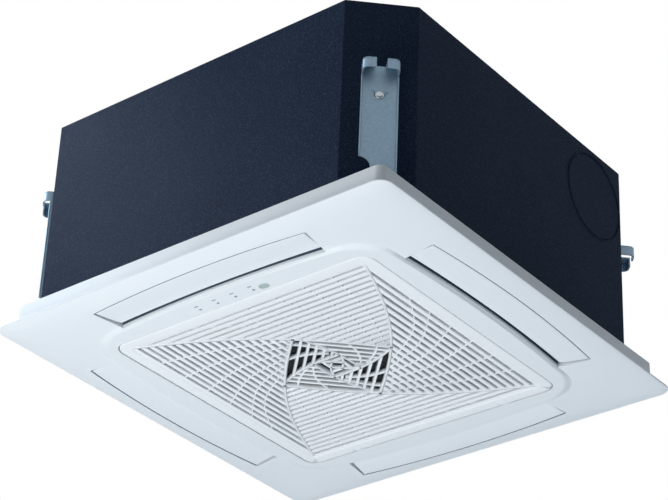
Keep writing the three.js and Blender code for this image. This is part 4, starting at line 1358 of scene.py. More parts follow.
    def hinge_ears(self) -> list[Draft]:
        """Draws the two ears that carry the grille.

        Returns:
            The ears and their roots.
        """
        hole, outer = self.ear_radii
        half = self.ear_half
        made = []
        for side in (-1, 1):
            x = side * self.ear_along
            ear = Draft().turned([(hole, -half), (outer, -half), (outer, half), (hole, half)],
                                 sides=24, closed=True)
            made.append(ear.moved(Matrix.Translation((x, *self.ear_line))
                                  @ Matrix.Rotation(QUARTER, 4, "Y")))
            made.append(Draft().block(x - half, x + half, *self.ear_root))
        return made

    def bearings(self) -> list[Draft]:
        """Draws the eight bearings of the flaps.

        Returns:
            The eight blocks.
        """
        made = []
        for side in range(4):
            for end in (-1, 1):
                low, high = sorted(end * along for along in self.bearing_along)
                made.append(quarter(Draft().block(low, high, *self.bearing_block), side))
        return made

    def collar(self) -> Draft:
        """Draws the wall round the recess, up to the drain pan.

        Returns:
            The wall.
        """
        inner, outer = self.recess(), self.recess(self.collar_wall)
        foot, top = self.collar_heights
        return Draft().loft([at_height(inner, foot), at_height(outer, foot),
                             at_height(outer, top), at_height(inner, top)], closed=True)

    def build(self, lamps: "SignalLamps") -> None:
        """Makes the panel.

        Args:
            lamps: The lamps and the window that the ring holds.
        """
        rings = [at_height(soft_square(reach, corner, bow), z)
                 for reach, corner, bow, z in self.section()]
        more = Draft().with_all([*self.hinge_ears(), *self.bearings()])
        Draft().loft(rings).place(
            "panel_moulding", PANEL_WHITE, Body.UNIT,
            replaces=("panel_frame", "panel_band", "panel_collar"), bevel=0.45,
            cutters=[self.holes(lamps), *self.latch_pockets()], plain_after=more)
        self.collar().place("panel_collar_wall", PANEL_WHITE, Body.UNIT,
                            cutters=self.latch_pockets())
        # Painted shade: dark strips darken the slots behind the outlets' inner edges.
        for side, name in enumerate(("front", "right", "back", "left")):
            quarter(self.shade_strip(), side).place(f"outlet_shade_strip_{name}", SHADE_STRIP_PAINT, Body.UNIT)


@dataclass
class Flap:
    """One bowed flap with its arms and pins."""

    panel: Panel
    running: float = 1.2
    inner_gap: float = 3.6
    end_gap: float = 2.6
    ends: Profile = ((1.0, 1.1), (0.9985, 0.35), (0.995, 0.0))  # share and how far drawn in
    straight: float = 0.98
    length_steps: int = 40
    section_steps: int = 10
    round_steps: int = 6
    round_loss: float = 0.8
    curve_margin: float = 2.0
    # The dark lip along the outer edge is painted shade in the gap between the blade and the
    # plate.
    lip_bite: float = 0.6
    lip_gap: float = 0.35
    lip_end: float = 1.0
    lip_rise: float = 0.45
    lip_height: float = 1.5
    thickness: float = 3.2
    rise: float = 4.6
    pivot_across: float = 248.0
    pivot_height: float = 14.0
    pin: float = 2.5
    hub: float = 3.5
    arm_width: float = 4.0
    arm_root: float = 154.0
    arm_tip: float = 163.9
    arm_sink: float = 1.5
    pin_end: float = 170.6

    def height(self, across: float) -> float:
        """Finds the blade's lower face at a distance from the centre.

        Args:
            across: The distance.

        Returns:
            The height.
        """
        outer = self.panel.outlet_outer + self.panel.outer_bow + self.curve_margin
        inner = self.panel.outlet_inner + self.inner_gap - self.curve_margin
        return self.panel.plate_drop + self.rise * ((outer - across) / (outer - inner)) ** 2

    def station(self, t: float, shrink: float) -> list[Point]:
        """Draws the blade's section at a share of its length.

        Args:
            t: From -1 at one end to 1 at the other.
            shrink: How far the section is drawn in, which rounds the ends.

        Returns:
            The section's ring.
        """
        panel = self.panel
        inner = panel.outlet_inner + panel.bow * (1 - t * t) + self.inner_gap + shrink
        outer = panel.outlet_outer + panel.outer_bow * (1 - t * t) - self.running - shrink
        ends = (panel.inner_length / 2 - self.end_gap, panel.outer_length / 2 - self.end_gap)
        span = panel.outlet_outer - panel.outlet_inner
        ring = []
        steps = self.section_steps
        edge = self.thickness / 2 - shrink * self.round_loss

        def point(across: float, lift: float) -> Point:
            """Returns the point at this distance out and height above the blade's foot."""
            length = ends[0] + (ends[1] - ends[0]) * (across - panel.outlet_inner) / span
            return (t * length, -across, self.height(across) + self.thickness / 2 + lift)

        for i in range(steps + 1):
            ring.append(point(inner + edge + (outer - inner - 2 * edge) * i / steps, -edge))
        for i in range(1, self.round_steps):
            angle = -QUARTER + math.pi * i / self.round_steps
            ring.append(point(outer - edge + edge * math.cos(angle), edge * math.sin(angle)))
        for i in range(steps + 1):
            ring.append(point(outer - edge - (outer - inner - 2 * edge) * i / steps, edge))
        for i in range(1, self.round_steps):
            angle = QUARTER + math.pi * i / self.round_steps
            ring.append(point(inner + edge + edge * math.cos(angle), edge * math.sin(angle)))
        return ring

    def blade(self) -> Draft:
        """Draws the blade.

        Returns:
            The blade.
        """
        stations = [(-share, shrink) for share, shrink in self.ends]
        stations += [(-self.straight + 2 * self.straight * i / self.length_steps, 0.0)
                     for i in range(self.length_steps + 1)]
        stations += reversed(self.ends)
        return Draft().loft([self.station(t, shrink) for t, shrink in stations])

    def lip(self) -> Draft:
        """Draws the dark lip along the blade's outer edge: painted shade filling the gap between
        the blade and the plate.

        Returns:
            The lip.
        """
        panel = self.panel
        half = panel.outer_length / 2 - self.end_gap - self.lip_end
        rings = []
        for t in spread(self.length_steps):
            along = t * half
            bulge = 1 - (along * 2 / panel.outer_length) ** 2
            edge = panel.outlet_outer + panel.outer_bow * bulge
            inner, outer = edge - self.running - self.lip_bite, edge - self.lip_gap
            foot = self.height(edge - self.running) + self.lip_rise
            rings.append([(along, -inner, foot), (along, -outer, foot),
                          (along, -outer, foot + self.lip_height),
                          (along, -inner, foot + self.lip_height)])
        return Draft().loft(rings)

    def arms(self) -> list[Draft]:
        """Draws the arm, hub and pin at each end.

        Returns:
            The pieces of both ends.
        """
        made = []
        foot = self.height(self.pivot_across) + self.arm_sink
        place = (Matrix.Translation((0, -self.pivot_across, self.pivot_height))
                 @ Matrix.Rotation(QUARTER, 4, "Y"))
        for end in (-1, 1):
            low, high = sorted((end * self.arm_root, end * (self.arm_root + self.arm_width)))
            made.append(Draft().block(low, high, -self.pivot_across - self.hub,
                                      -self.pivot_across + self.hub, foot, self.pivot_height))
            for radius, stop in ((self.hub, self.arm_tip), (self.pin, self.pin_end)):
                low, high = sorted((end * self.arm_root, end * stop))
                rod = Draft().turned([(radius, low), (radius, high)], sides=24)
                made.append(rod.moved(place))
        return made

    def build(self) -> None:
        """Makes the four flaps and dresses their motors."""
        names = (("front", Body.FLAP_FRONT), ("right", Body.FLAP_RIGHT),
                 ("back", Body.FLAP_BACK), ("left", Body.FLAP_LEFT))
        whole = self.blade().with_all(self.arms())
        for side, (name, body) in enumerate(names):
            quarter(whole, side).place(f"blade_{name}", PANEL_WHITE, body,
                                       replaces=(f"flap_{name}",))
            # Painted shade: a dark lip in the gap at the blade's outer edge.
            quarter(self.lip(), side).place(f"blade_shade_strip_{name}", SHADE_STRIP_PAINT, body)
            dress([f"flap_motor_{name}"], MOTOR_CAN)


@dataclass
class SignalLamps:
    """The lamps, their printed marks and the receiver's window in the ring."""

    count: int = 4
    first: float = -45.7
    pitch: float = 28.3
    across: float = 213.0
    radius: float = 1.7
    hole_fit: float = 0.3
    hole_step: float = 0.01
    lens_edge: Profile = ((0.0, 0.35), (0.35, 0.1))
    lens_face: Flat = (0.4, 0.05)
    mark_across: float = 221.4
    mark_size: Flat = (6.4, 2.2)
    mark_round: float = 0.45
    mark_depth: float = 0.2
    window_along: float = 55.5
    window_half: Flat = (7.0, 5.0)
    window_round: float = 0.8
    window_steps: int = 48
    window_fit: float = 0.15
    window_face: float = 0.1
    seat: float = 8.0
    cut: Flat = (-4.0, 29.0)

    def lamp_hole(self, i: int) -> Draft:
        """Draws the hole of one lamp.

        Args:
            i: The lamp's number.

        Returns:
            The cutter.
        """
        low, high = self.cut
        radius = self.radius + self.hole_fit
        hole = Draft().turned([(radius, low - i * self.hole_step), (radius, high)], sides=28)
        return hole.moved(self.spot(i))

    def spot(self, i: int) -> Matrix:
        """Returns the matrix that carries a shape to one lamp."""
        return Matrix.Translation((self.first + i * self.pitch, -self.across, 0))

    def window(self, grow: float, z0: float, z1: float) -> Draft:
        """Draws the window, larger by a margin, between two heights.

        Args:
            grow: The margin.
            z0: The foot.
            z1: The top.

        Returns:
            The window.
        """
        outline = []
        for i in range(self.window_steps):
            angle = math.tau * i / self.window_steps
            x = math.copysign(abs(math.cos(angle)) ** self.window_round, math.cos(angle))
            y = math.copysign(abs(math.sin(angle)) ** self.window_round, math.sin(angle))
            outline.append((self.window_along + (self.window_half[0] + grow) * x,
                            -self.across + (self.window_half[1] + grow) * y))
        return Draft().prism(outline, z0, z1)

    def mark(self, i: int) -> Draft:
        """Draws the printed mark beside one lamp.

        Args:
            i: The lamp's number.

        Returns:
            The mark.
        """
        wide, tall = self.mark_size
        x = self.first + i * self.pitch
        bar = [(x + a * wide / 2, b * tall / 2 - self.mark_across)
               for a, b in ((-1, -1), (1, -1), (1, 1), (-1, 1))]
        return Draft().prism(rounded(bar, tall * self.mark_round), 0.0, self.mark_depth)

    def build(self) -> None:
        """Makes the lenses, the marks and the window."""
        for i in range(self.count):
            lens = Draft().turned([(self.radius, self.seat),
                                   *[(self.radius - inset, z) for inset, z in self.lens_edge],
                                   self.lens_face], sides=28)
            lens.moved(self.spot(i)).place(f"lamp_lens_{i + 1}", LAMP_LENS, Body.UNIT,
                                           replaces=(f"indicator_lamp_{i + 1}",))
            self.mark(i).place(f"lamp_mark_{i + 1}", PRINTED_MARK, Body.UNIT)
        self.window(-self.window_fit, self.window_face, self.seat).place(
            "receiver_lens", RECEIVER_LENS, Body.UNIT, replaces=("receiver_window",), bevel=0.3)
        dress(["receiver_board"], BOARD_COAT)


# ---------------------------------------------------------------------------- intake grille
@dataclass
class PinwheelGrille:
    """The intake grille, whose slats turn from square to smaller square."""

    half: float = 202.0
    corner: float = 18.0
    thickness: float = 10.0
    edge_radius: float = 1.8
    edge_steps: int = 4
    back_edge: float = 0.4
    border: Rings = ((0.0, 3.0, 0.5), (0.4, 3.2, 0.0))  # out, corner and rise
    brim: Rings = ((-0.6, 5.0, 1.0), (0.3, 5.4, 0.6), (1.3, 6.0, 0.0))  # share of the front last
    field_half: float = 186.0
    front: float = 1.5
    depth: float = 6.5
    pitch: float = 10.58
    gaps: Point = (4.6, 6.9, 6.0)  # by level
    drafts: Point = (1.8, 0.6, 0.6)  # by level
    slat_edge: float = 0.7
    slat_ease: float = 0.3
    slat_gap: float = 0.8
    last_slat: float = 0.35
    margin: float = 5.3
    arm_width: float = 3.6
    arm_thin: float = 0.8
    arm_lift: float = 0.15
    arm_start: float = 21.0
    arm_end: float = 47.0
    arm_handle: float = 137.0
    inner_radius: float = 90.0
    rib_width: float = 1.9
    rib_count: int = 6
    rib_first: float = -134.0
    rib_spacing: float = 46.5
    rib_lean: float = 8.0
    rib_fan: float = 14.0
    rib_handle: float = 90.0
    rib_tip: Flat = (8.0, 15.0)
    rib_tip_share: float = 0.7
    rib_depths: Flat = (0.5, 0.6)
    inner_ribs: Flat = (0.16, 0.47)
    inner_rib_width: float = 3.0
    inner_rib_steps: int = 12
    inner_rib_reach: float = 0.78
    inner_rib_depth: float = 0.3
    notch_along: float = 120.0
    notch_half: float = 7.0
    notch_cut: Four = (194.7, 204.0, -2.0, 12.0)  # two edges, foot and top
    relief_inset: float = 12.5
    relief_slope: float = 0.6
    relief_over: float = 3.0
    relief_foot: float = -1.0
    relief_depths: Flat = (11.0, 2.0)
    levels: int = 3
    level_drop: float = 1.3
    level_rise: float = 0.4

    def rim(self) -> Draft:
        """Draws the frame round the slats.

        Returns:
            The frame.
        """
        radius = self.edge_radius
        rings = []
        for i in range(self.edge_steps + 1):
            angle = QUARTER * i / self.edge_steps
            rings.append((self.half - radius + radius * math.sin(angle), self.corner,
                          radius - radius * math.cos(angle)))
        rings += [(self.half, self.corner, self.thickness - self.back_edge),
                  (self.half - self.back_edge, self.corner, self.thickness)]
        reach = self.field_half - self.margin
        rings.append((reach, self.border[0][1], self.thickness))
        rings += [(reach + out, corner, self.front + up) for out, corner, up in self.border]
        rings += [(self.field_half + out, corner, self.front * share)
                  for out, corner, share in self.brim]
        return Draft().loft([
            at_height(soft_square(reach, corner, corner_steps=10, edge_steps=1), z)
            for reach, corner, z in rings], closed=True)

    def arm(self) -> list[Flat]:
        """Draws the arm from a corner of the field to the next square in.

        Returns:
            The centre line.
        """
        start, end = (-self.field_half, -self.field_half), (self.inner_radius, 0.0)
        a, b = math.radians(self.arm_start), math.radians(self.arm_end)
        handle = self.arm_handle
        return bezier(start, (start[0] + handle * math.cos(a), start[1] + handle * math.sin(a)),
                      (end[0] - handle * math.cos(b), end[1] - handle * math.sin(b)), end,
                      steps=36)

    def rib(self, i: int) -> list[Flat]:
        """Draws one rib of the left sector.

        Args:
            i: The rib's number.

        Returns:
            The centre line.
        """
        start = (-self.field_half, self.rib_first + self.rib_spacing * i)
        lean = math.radians(self.rib_lean - self.rib_fan * i)
        first, spacing = self.rib_tip
        tip = (first + spacing * i) * self.rib_tip_share
        end = (-tip, tip - self.inner_radius)
        knee = (start[0] + self.rib_handle * math.cos(lean),
                start[1] + self.rib_handle * math.sin(lean))
        return bezier(start, knee, knee, end, steps=20)

    def slat(self, x: float, width: float, low: Sequence[Flat], high: Sequence[Flat],
             front: float, back: float, draft: float) -> Draft | None:
        """Draws one slat between two arms.

        Args:
            x: The slat's centre line.
            width: Its width.
            low: The arm below it.
            high: The arm above it.
            front: Height of its lower face.
            back: Height of its upper face.
            draft: How much further each side reaches at the upper face.

        Returns:
            The slat, or None where the arms leave no room.
        """
        soft = self.slat_edge
        ease = soft * self.slat_ease
        section = [(-width / 2, front + soft), (-width / 2 + ease, front + ease),
                   (-width / 2 + soft, front), (width / 2 - soft, front),
                   (width / 2 - ease, front + ease), (width / 2, front + soft),
                   (width / 2 + draft, back), (-width / 2 - draft, back)]
        if height_at(high, x) - height_at(low, x) < width:
            return None
        rings = [[(x + dx, height_at(path, x + dx), z) for dx, z in section]
                 for path in (low, high)]
        return Draft().loft(rings)

    def sector(self, level: int) -> list[Draft]:
        """Draws the slats, arm and ribs of the left sector of one square.

        Args:
            level: The square, 0 outermost.

        Returns:
            The bars.
        """
        scale = (self.inner_radius / (self.field_half * math.sqrt(2))) ** level
        reach = self.field_half * scale
        low = [(x * scale, y * scale) for x, y in self.arm()]
        high = [(y, -x) for x, y in low]
        front = self.front + self.level_drop * level
        back = self.front + self.depth + self.level_rise * level
        made = []
        gap = self.gaps[level]
        x = reach - (self.margin if level == 0 else self.arm_width / 2 + self.slat_gap)
        x -= gap + (self.pitch - gap) / 2
        while x > self.pitch * self.last_slat:
            made.append(self.slat(-x, self.pitch - gap, low, high, front, back,
                                  self.drafts[level]))
            x -= self.pitch
        arm_width = self.arm_width if level == 0 else self.arm_width * self.arm_thin
        made.append(Draft().ribbon(low, arm_width, front - self.arm_lift, back))
        if level == 0:
            foot, head = front + self.rib_depths[0], back - self.rib_depths[1]
            for i in range(self.rib_count):
                made.append(Draft().ribbon(self.rib(i), self.rib_width, foot, head))
        elif level == 1:
            for share in self.inner_ribs:
                path = []
                for i in range(self.inner_rib_steps + 1):
                    x = -reach * (1 - i / self.inner_rib_steps * self.inner_rib_reach)
                    foot, head = height_at(low, x), height_at(high, x)
                    path.append((x, foot + share * (head - foot)))
                made.append(Draft().ribbon(path, self.inner_rib_width,
                                           front + self.inner_rib_depth, back))
        return [draft for draft in made if draft]

    def build(self) -> None:
        """Makes the grille, its pins and its latches."""
        bars = Draft()
        for level in range(self.levels):
            sector = Draft().with_all(self.sector(level))
            for side in range(4):
                turn = Matrix.Rotation(level * math.pi / 4 + side * QUARTER, 4, "Z")
                bars.with_all([sector.moved(turn)])
        self.rim().place("grille_moulding", GRILLE_WHITE, Body.GRILLE,
                         replaces=("intake_grille",), cutters=[self.notches()],
                         plain_after=bars)
        dress(["grille_hinge_pin_left", "grille_hinge_pin_right"], PLATED_STEEL)
        dress(["grille_latch_left", "grille_latch_right"], GREY_MOULDING)

    def notches(self) -> Draft:
        """Draws the notches that clear the hinge ears and the corners' swing.

        Returns:
            The cutter.
        """
        made = Draft()
        start, stop = self.half - self.relief_inset, self.half + self.relief_over
        rise = (stop - start) * self.relief_slope
        near, far = self.relief_depths
        for side in (-1, 1):
            x = side * self.notch_along
            made.block(x - self.notch_half, x + self.notch_half, *self.notch_cut)
            corners = [(side * start, self.relief_foot), (side * stop, self.relief_foot),
                       (side * stop, rise), (side * start, 0.0)]
            made.loft([[(x, y, z) for x, z in corners]
                       for y in (self.half - self.relief_slope * near, self.half + far)])
        return made


@dataclass
class AirFilter:
    """The filter's frame, ribs and net."""

    half: float = 180.0
    foot: float = 8.3
    thickness: float = 5.0
    rail: float = 18.0
    corners: Flat = (5.0, 3.0)
    rib: float = 1.6
    rib_count: int = 7
    rib_root: float = 0.5
    rib_sink: float = 1.0
    net_inset: float = 2.0
    net_half: float = 0.3

    def build(self) -> None:
        """Makes the frame with its ribs, and the net inside it."""
        corner, inner_corner = self.corners
        outer = soft_square(self.half, corner, corner_steps=6, edge_steps=1)
        inner = soft_square(self.half - self.rail, inner_corner, corner_steps=6, edge_steps=1)
        top = self.foot + self.thickness
        rails = Draft().loft([at_height(inner, self.foot), at_height(outer, self.foot),
                              at_height(outer, top), at_height(inner, top)], closed=True)
        rails.place("filter_frame", GRILLE_WHITE, Body.GRILLE, replaces=("air_filter",),
                    bevel=0.3)
        ribs = Draft()
        reach = self.half - self.rail + self.rib_root
        for i in range(self.rib_count):
            along = -self.half + 2 * self.half * (i + 1) / (self.rib_count + 1)
            for path in ([(along, -reach), (along, reach)], [(-reach, along), (reach, along)]):
                ribs.ribbon(path, self.rib, self.foot + self.rib_sink, top - self.rib_sink)
        ribs.place("filter_ribs", DARK_MOULDING, Body.GRILLE, bevel=0.3)
        middle = self.foot + self.thickness / 2
        plan = soft_square(self.half - self.net_inset, inner_corner, corner_steps=6,
                           edge_steps=8)
        net = Draft().prism(plan, middle - self.net_half, middle + self.net_half)
        net.place("filter_net", FILTER_NET, Body.GRILLE)


# ---------------------------------------------------------------------------- air path
@dataclass
class AirPath:
    """The bell mouth, the fan and its motor."""

    bell_foot: float = 46.3
    bell_flange: float = 172.0
    bell_mouth: float = 150.0
    bell_inset: float = 4.0
    bell_throat: float = 116.0
    bell_wall: float = 2.0
    bell_height: float = 54.0
    bell_straight: float = 14.0
    bell_steps: int = 12
    fan_radius: float = 158.0
    fan_inlet: float = 120.0
    fan_wall: float = 2.4
    hub_height: float = 186.0
    hub_bore: float = 4.3
    hub_boss: Profile = ((15.0, -22.0), (16.0, -21.0), (16.4, -7.0), (18.0, -3.0), (22.0, 0.0))
    hub_edge: Profile = ((0.8, 0.0), (0.0, 0.8), (0.0, 1.8), (0.8, 2.4))  # in and up
    shroud_foot: float = 92.3
    shroud_rise: float = 16.0
    shroud_steps: int = 10
    blade_count: int = 7
    blade_inner: float = 96.0
    blade_sweep: float = 42.0
    blade_curl: float = 1.2
    blade_lean: float = 0.75  # radians
    blade_thickness: float = 1.6
    blade_waist: Flat = (0.35, 1.1)
    blade_nose: Flat = (1.1, 0.08)
    blade_tail: float = 1.5
    blade_foot: float = 104.5
    blade_clearance: float = 2.0
    blade_sink: Flat = (0.4, 0.5)
    blade_steps: int = 16
    motor_foot: float = 200.4
    motor_top: float = 282.4
    motor_can: Profile = ((4.3, 22.3), (4.3, 0.0), (13.4, 0.0), (14.0, 0.6), (16.0, 6.0),
                          (46.0, 10.0), (50.0, 12.0), (52.0, 16.0), (52.0, 38.0), (59.4, 38.0),
                          (60.0, 38.6), (60.0, 41.4), (59.4, 42.0), (52.0, 42.0))
    motor_cap: Profile = ((52.0, 6.0), (50.5, 2.5), (46.0, 0.0), (0.5, 0.0))  # down from top
    sides: int = 96

    def bell(self) -> Draft:
        """Draws the curved inlet.

        Returns:
            The inlet.
        """
        inner, outer = [], []
        across = self.bell_mouth - self.bell_inset - self.bell_throat - self.bell_wall
        for i in range(self.bell_steps + 1):
            angle = i / self.bell_steps * QUARTER
            radius = self.bell_throat + across * (1 - math.sin(angle))
            z = self.bell_foot + (self.bell_height - self.bell_straight) * math.sin(angle)
            inner.append((radius, z))
            outer.append((radius + self.bell_wall, z + self.bell_wall * math.cos(angle)))
        top = self.bell_foot + self.bell_height
        profile = [(self.bell_flange, self.bell_foot),
                   (self.bell_flange, self.bell_foot + self.bell_wall), *outer,
                   (self.bell_throat + self.bell_wall, top), (self.bell_throat, top),
                   *reversed(inner)]
        return Draft().turned(profile, self.sides, closed=True)

    def shroud(self) -> Draft:
        """Draws the fan's curved inlet ring.

        Returns:
            The ring.
        """
        outer, inner = [], []
        for i in range(self.shroud_steps + 1):
            angle = i / self.shroud_steps * QUARTER
            radius = self.fan_inlet + (self.fan_radius - self.fan_inlet) * (1 - math.cos(angle))
            z = self.shroud_foot + self.shroud_rise * math.sin(angle)
            outer.append((radius, z))
            inner.append((radius + self.fan_wall * math.cos(angle),
                          z - self.fan_wall * math.sin(angle)))
        return Draft().turned([*inner, *reversed(outer)], self.sides, closed=True)

    def hub(self) -> Draft:
        """Draws the hub disc and its boss.

        Returns:
            The hub.
        """
        boss = [(radius, self.hub_height + up) for radius, up in self.hub_boss]
        edge = [(self.fan_radius - inset, self.hub_height + up) for inset, up in self.hub_edge]
        profile = [(self.hub_bore, boss[0][1]), *boss, *edge, (self.hub_bore, edge[-1][1])]
        return Draft().turned(profile, self.sides, closed=True)

    def blade(self) -> Draft:
        """Draws one swept blade with a round nose and a thin tail.

        Returns:
            The blade.
        """
        rings = []
        thin, swell = self.blade_waist
        stretch, nose = self.blade_nose
        sink, bite = self.blade_sink
        top = self.hub_height + bite
        for i in range(self.blade_steps + 1):
            share = i / self.blade_steps
            radius = self.blade_inner + (self.fan_radius - self.blade_tail
                                         - self.blade_inner) * share
            angle = -math.radians(self.blade_sweep) * share ** self.blade_curl
            bulge = math.sin(math.pi * min(share * stretch + nose, 1.0))
            thick = self.blade_thickness * (thin + swell * bulge)
            if radius < self.fan_inlet + self.blade_clearance:
                foot = self.blade_foot
            else:
                foot = self.shroud_height(radius) - sink
            heading = angle - self.blade_lean
            dx, dy = -math.sin(heading) * thick / 2, math.cos(heading) * thick / 2
            x, y = radius * math.cos(angle), radius * math.sin(angle)
            rings.append([(x - dx, y - dy, foot), (x + dx, y + dy, foot),
                          (x + dx, y + dy, top), (x - dx, y - dy, top)])
        return Draft().loft(rings)

    def shroud_height(self, radius: float) -> float:
        """Returns the height of the shroud's upper face at a radius."""
        cosine = 1 - (radius - self.fan_inlet) / (self.fan_radius - self.fan_inlet)
        return self.shroud_foot + self.shroud_rise * math.sqrt(max(1 - cosine ** 2, 0.0))

    def motor(self) -> Draft:
        """Draws the motor's can with its joint rim.

        Returns:
            The can.
        """
        profile = [(radius, self.motor_foot + up) for radius, up in self.motor_can]
        profile += [(radius, self.motor_top - down) for radius, down in self.motor_cap]
        return Draft().turned(profile, self.sides)

    def build(self) -> None:
        """Makes the bell mouth, the fan wheel and the motor."""
        self.bell().place("bell_inlet", DARK_MOULDING, Body.UNIT, replaces=("bell_mouth",))
        wheel = self.hub().with_all([self.shroud()])
        blade = self.blade()
        for i in range(self.blade_count):
            turn = Matrix.Rotation(math.tau * i / self.blade_count, 4, "Z")
            wheel.with_all([blade.moved(turn)])
        wheel.place("fan_moulding", DARK_MOULDING, Body.FAN, bevel=0.3,
                    replaces=("fan_wheel", "fan_shroud"))
        self.motor().place("motor_can", ZINC_SHEET, Body.UNIT, replaces=("fan_motor",))
        dress(["motor_mount"], ZINC_SHEET)
        dress(["motor_shaft", "fan_nut"], PLATED_STEEL)


# ---------------------------------------------------------------------------- water and pipes
@dataclass
class Services:
    """The coil, its pipes, the drain and the control box."""

    half: float = 291.5
    gas_along: float = -115.0
    liquid_along: float = -75.0
    pipe_height: float = 196.8
    gas_radius: float = 7.9
    liquid_radius: float = 4.8
    coil_face: float = 205.3
    pipe_drop: float = 30.0
    pipe_bend: Flat = (12.0, 50.0)
    pipe_steps: int = 16
    pipe_end: float = 308.1
    nut_foot: float = 295.5
    nut_fit: float = 0.3
    nut_wall: float = 5.0
    nut_length: float = 12.0
    nut_edge: Flat = (0.86, 1.0)
    nut_neck: float = 0.8
    nut_shoulder: Flat = (4.5, 3.6)
    socket: Flat = (-190.0, 236.8)
    socket_profile: Profile = ((9.0, -11.5), (12.0, -11.5), (12.0, 0.3), (15.6, 0.3),
                               (16.0, 0.6), (16.0, 1.5), (15.6, 1.8), (12.0, 1.8),
                               (12.0, 16.0), (11.4, 17.0), (9.5, 17.0), (9.0, 16.5))

    def pipe(self, along: float, radius: float) -> Draft:
        """Draws one tube from the coil through the back wall.

        Args:
            along: Its place along the wall.
            radius: Its radius.

        Returns:
            The tube.
        """
        low = self.pipe_height - self.pipe_drop
        start, knee = (self.coil_face + reach for reach in self.pipe_bend)
        path = [(along, self.coil_face, low), (along, start, low)]
        for i in range(1, self.pipe_steps):
            t = i / self.pipe_steps
            path.append((along, start + (knee - start) * t, low + self.pipe_drop * smooth(t)))
        path += [(along, knee, self.pipe_height), (along, self.pipe_end, self.pipe_height)]
        return Draft().tube(path, radius, sides=32)

    def nut(self, along: float, radius: float) -> Draft:
        """Draws one flare nut with its round shoulder.

        Args:
            along: Its place along the wall.
            radius: The tube's radius.

        Returns:
            The nut.
        """
        wide, bore, length = radius + self.nut_wall, radius + self.nut_fit, self.nut_length
        share, edge = self.nut_edge
        near, far = self.nut_shoulder
        neck = wide * self.nut_neck
        body = Draft().turned([(bore, 0.0), (wide * share, 0.0), (wide, edge),
                               (wide, length - near), (neck, length - far),
                               (neck, length), (bore, length)], sides=6, closed=True)
        place = (Matrix.Translation((along, self.nut_foot, self.pipe_height))
                 @ Matrix.Rotation(-QUARTER, 4, "X"))
        return body.moved(place)

    def build(self) -> None:
        """Makes the pipes and nuts, and dresses the other pieces."""
        for name, along, radius in (("gas", self.gas_along, self.gas_radius),
                                    ("liquid", self.liquid_along, self.liquid_radius)):
            self.pipe(along, radius).place(f"{name}_tube", COPPER_TUBE, Body.UNIT,
                                           replaces=(f"{name}_pipe",), bevel=0.4)
            self.nut(along, radius).place(f"{name}_nut", NUT_BRASS, Body.UNIT,
                                          replaces=(f"{name}_flare_nut",), bevel=0.3)
        x, z = self.socket
        socket = Draft().turned(self.socket_profile, sides=48, closed=True)
        socket.moved(Matrix.Translation((x, self.half, z))
                     @ Matrix.Rotation(-QUARTER, 4, "X")).place(
            "drain_outlet", GREY_MOULDING, Body.UNIT, replaces=("drain_socket",))
        dress(["heat_exchanger"], FIN_STOCK)
        dress(["coil_corner_plate", "service_plate", "control_box", "control_box_cover"],
              ZINC_SHEET)
        dress(["drain_pan", "float_ring"], PAN_FOAM)
        dress(["drain_pump", "pump_impeller", "float_switch", "drain_hose"], GREY_MOULDING)
        dress(["circuit_board"], BOARD_COAT)
        dress(["terminal_block"], DARK_MOULDING)


# ---------------------------------------------------------------------------- studio
@dataclass(frozen=True)
class SoftLamp:
    """A square studio lamp."""

    name: str
    place: Point
    aim: Point
    size: float
    power: float
    colour: Colour

    def build(self) -> None:
        """Hangs the lamp and turns it to its aim."""
        light = bpy.data.lights.new(self.name, "AREA")
        light.shape = "SQUARE"
        light.size = self.size
        light.energy = self.power
        light.color = self.colour
        lamp = bpy.data.objects.new(self.name, light)
        lamp.visible_camera = False
        lamp.location = self.place
        lamp.rotation_euler = (Vector(self.aim) - Vector(self.place)).to_track_quat(
            "-Z", "Y").to_euler()
        bpy.context.scene.collection.objects.link(lamp)


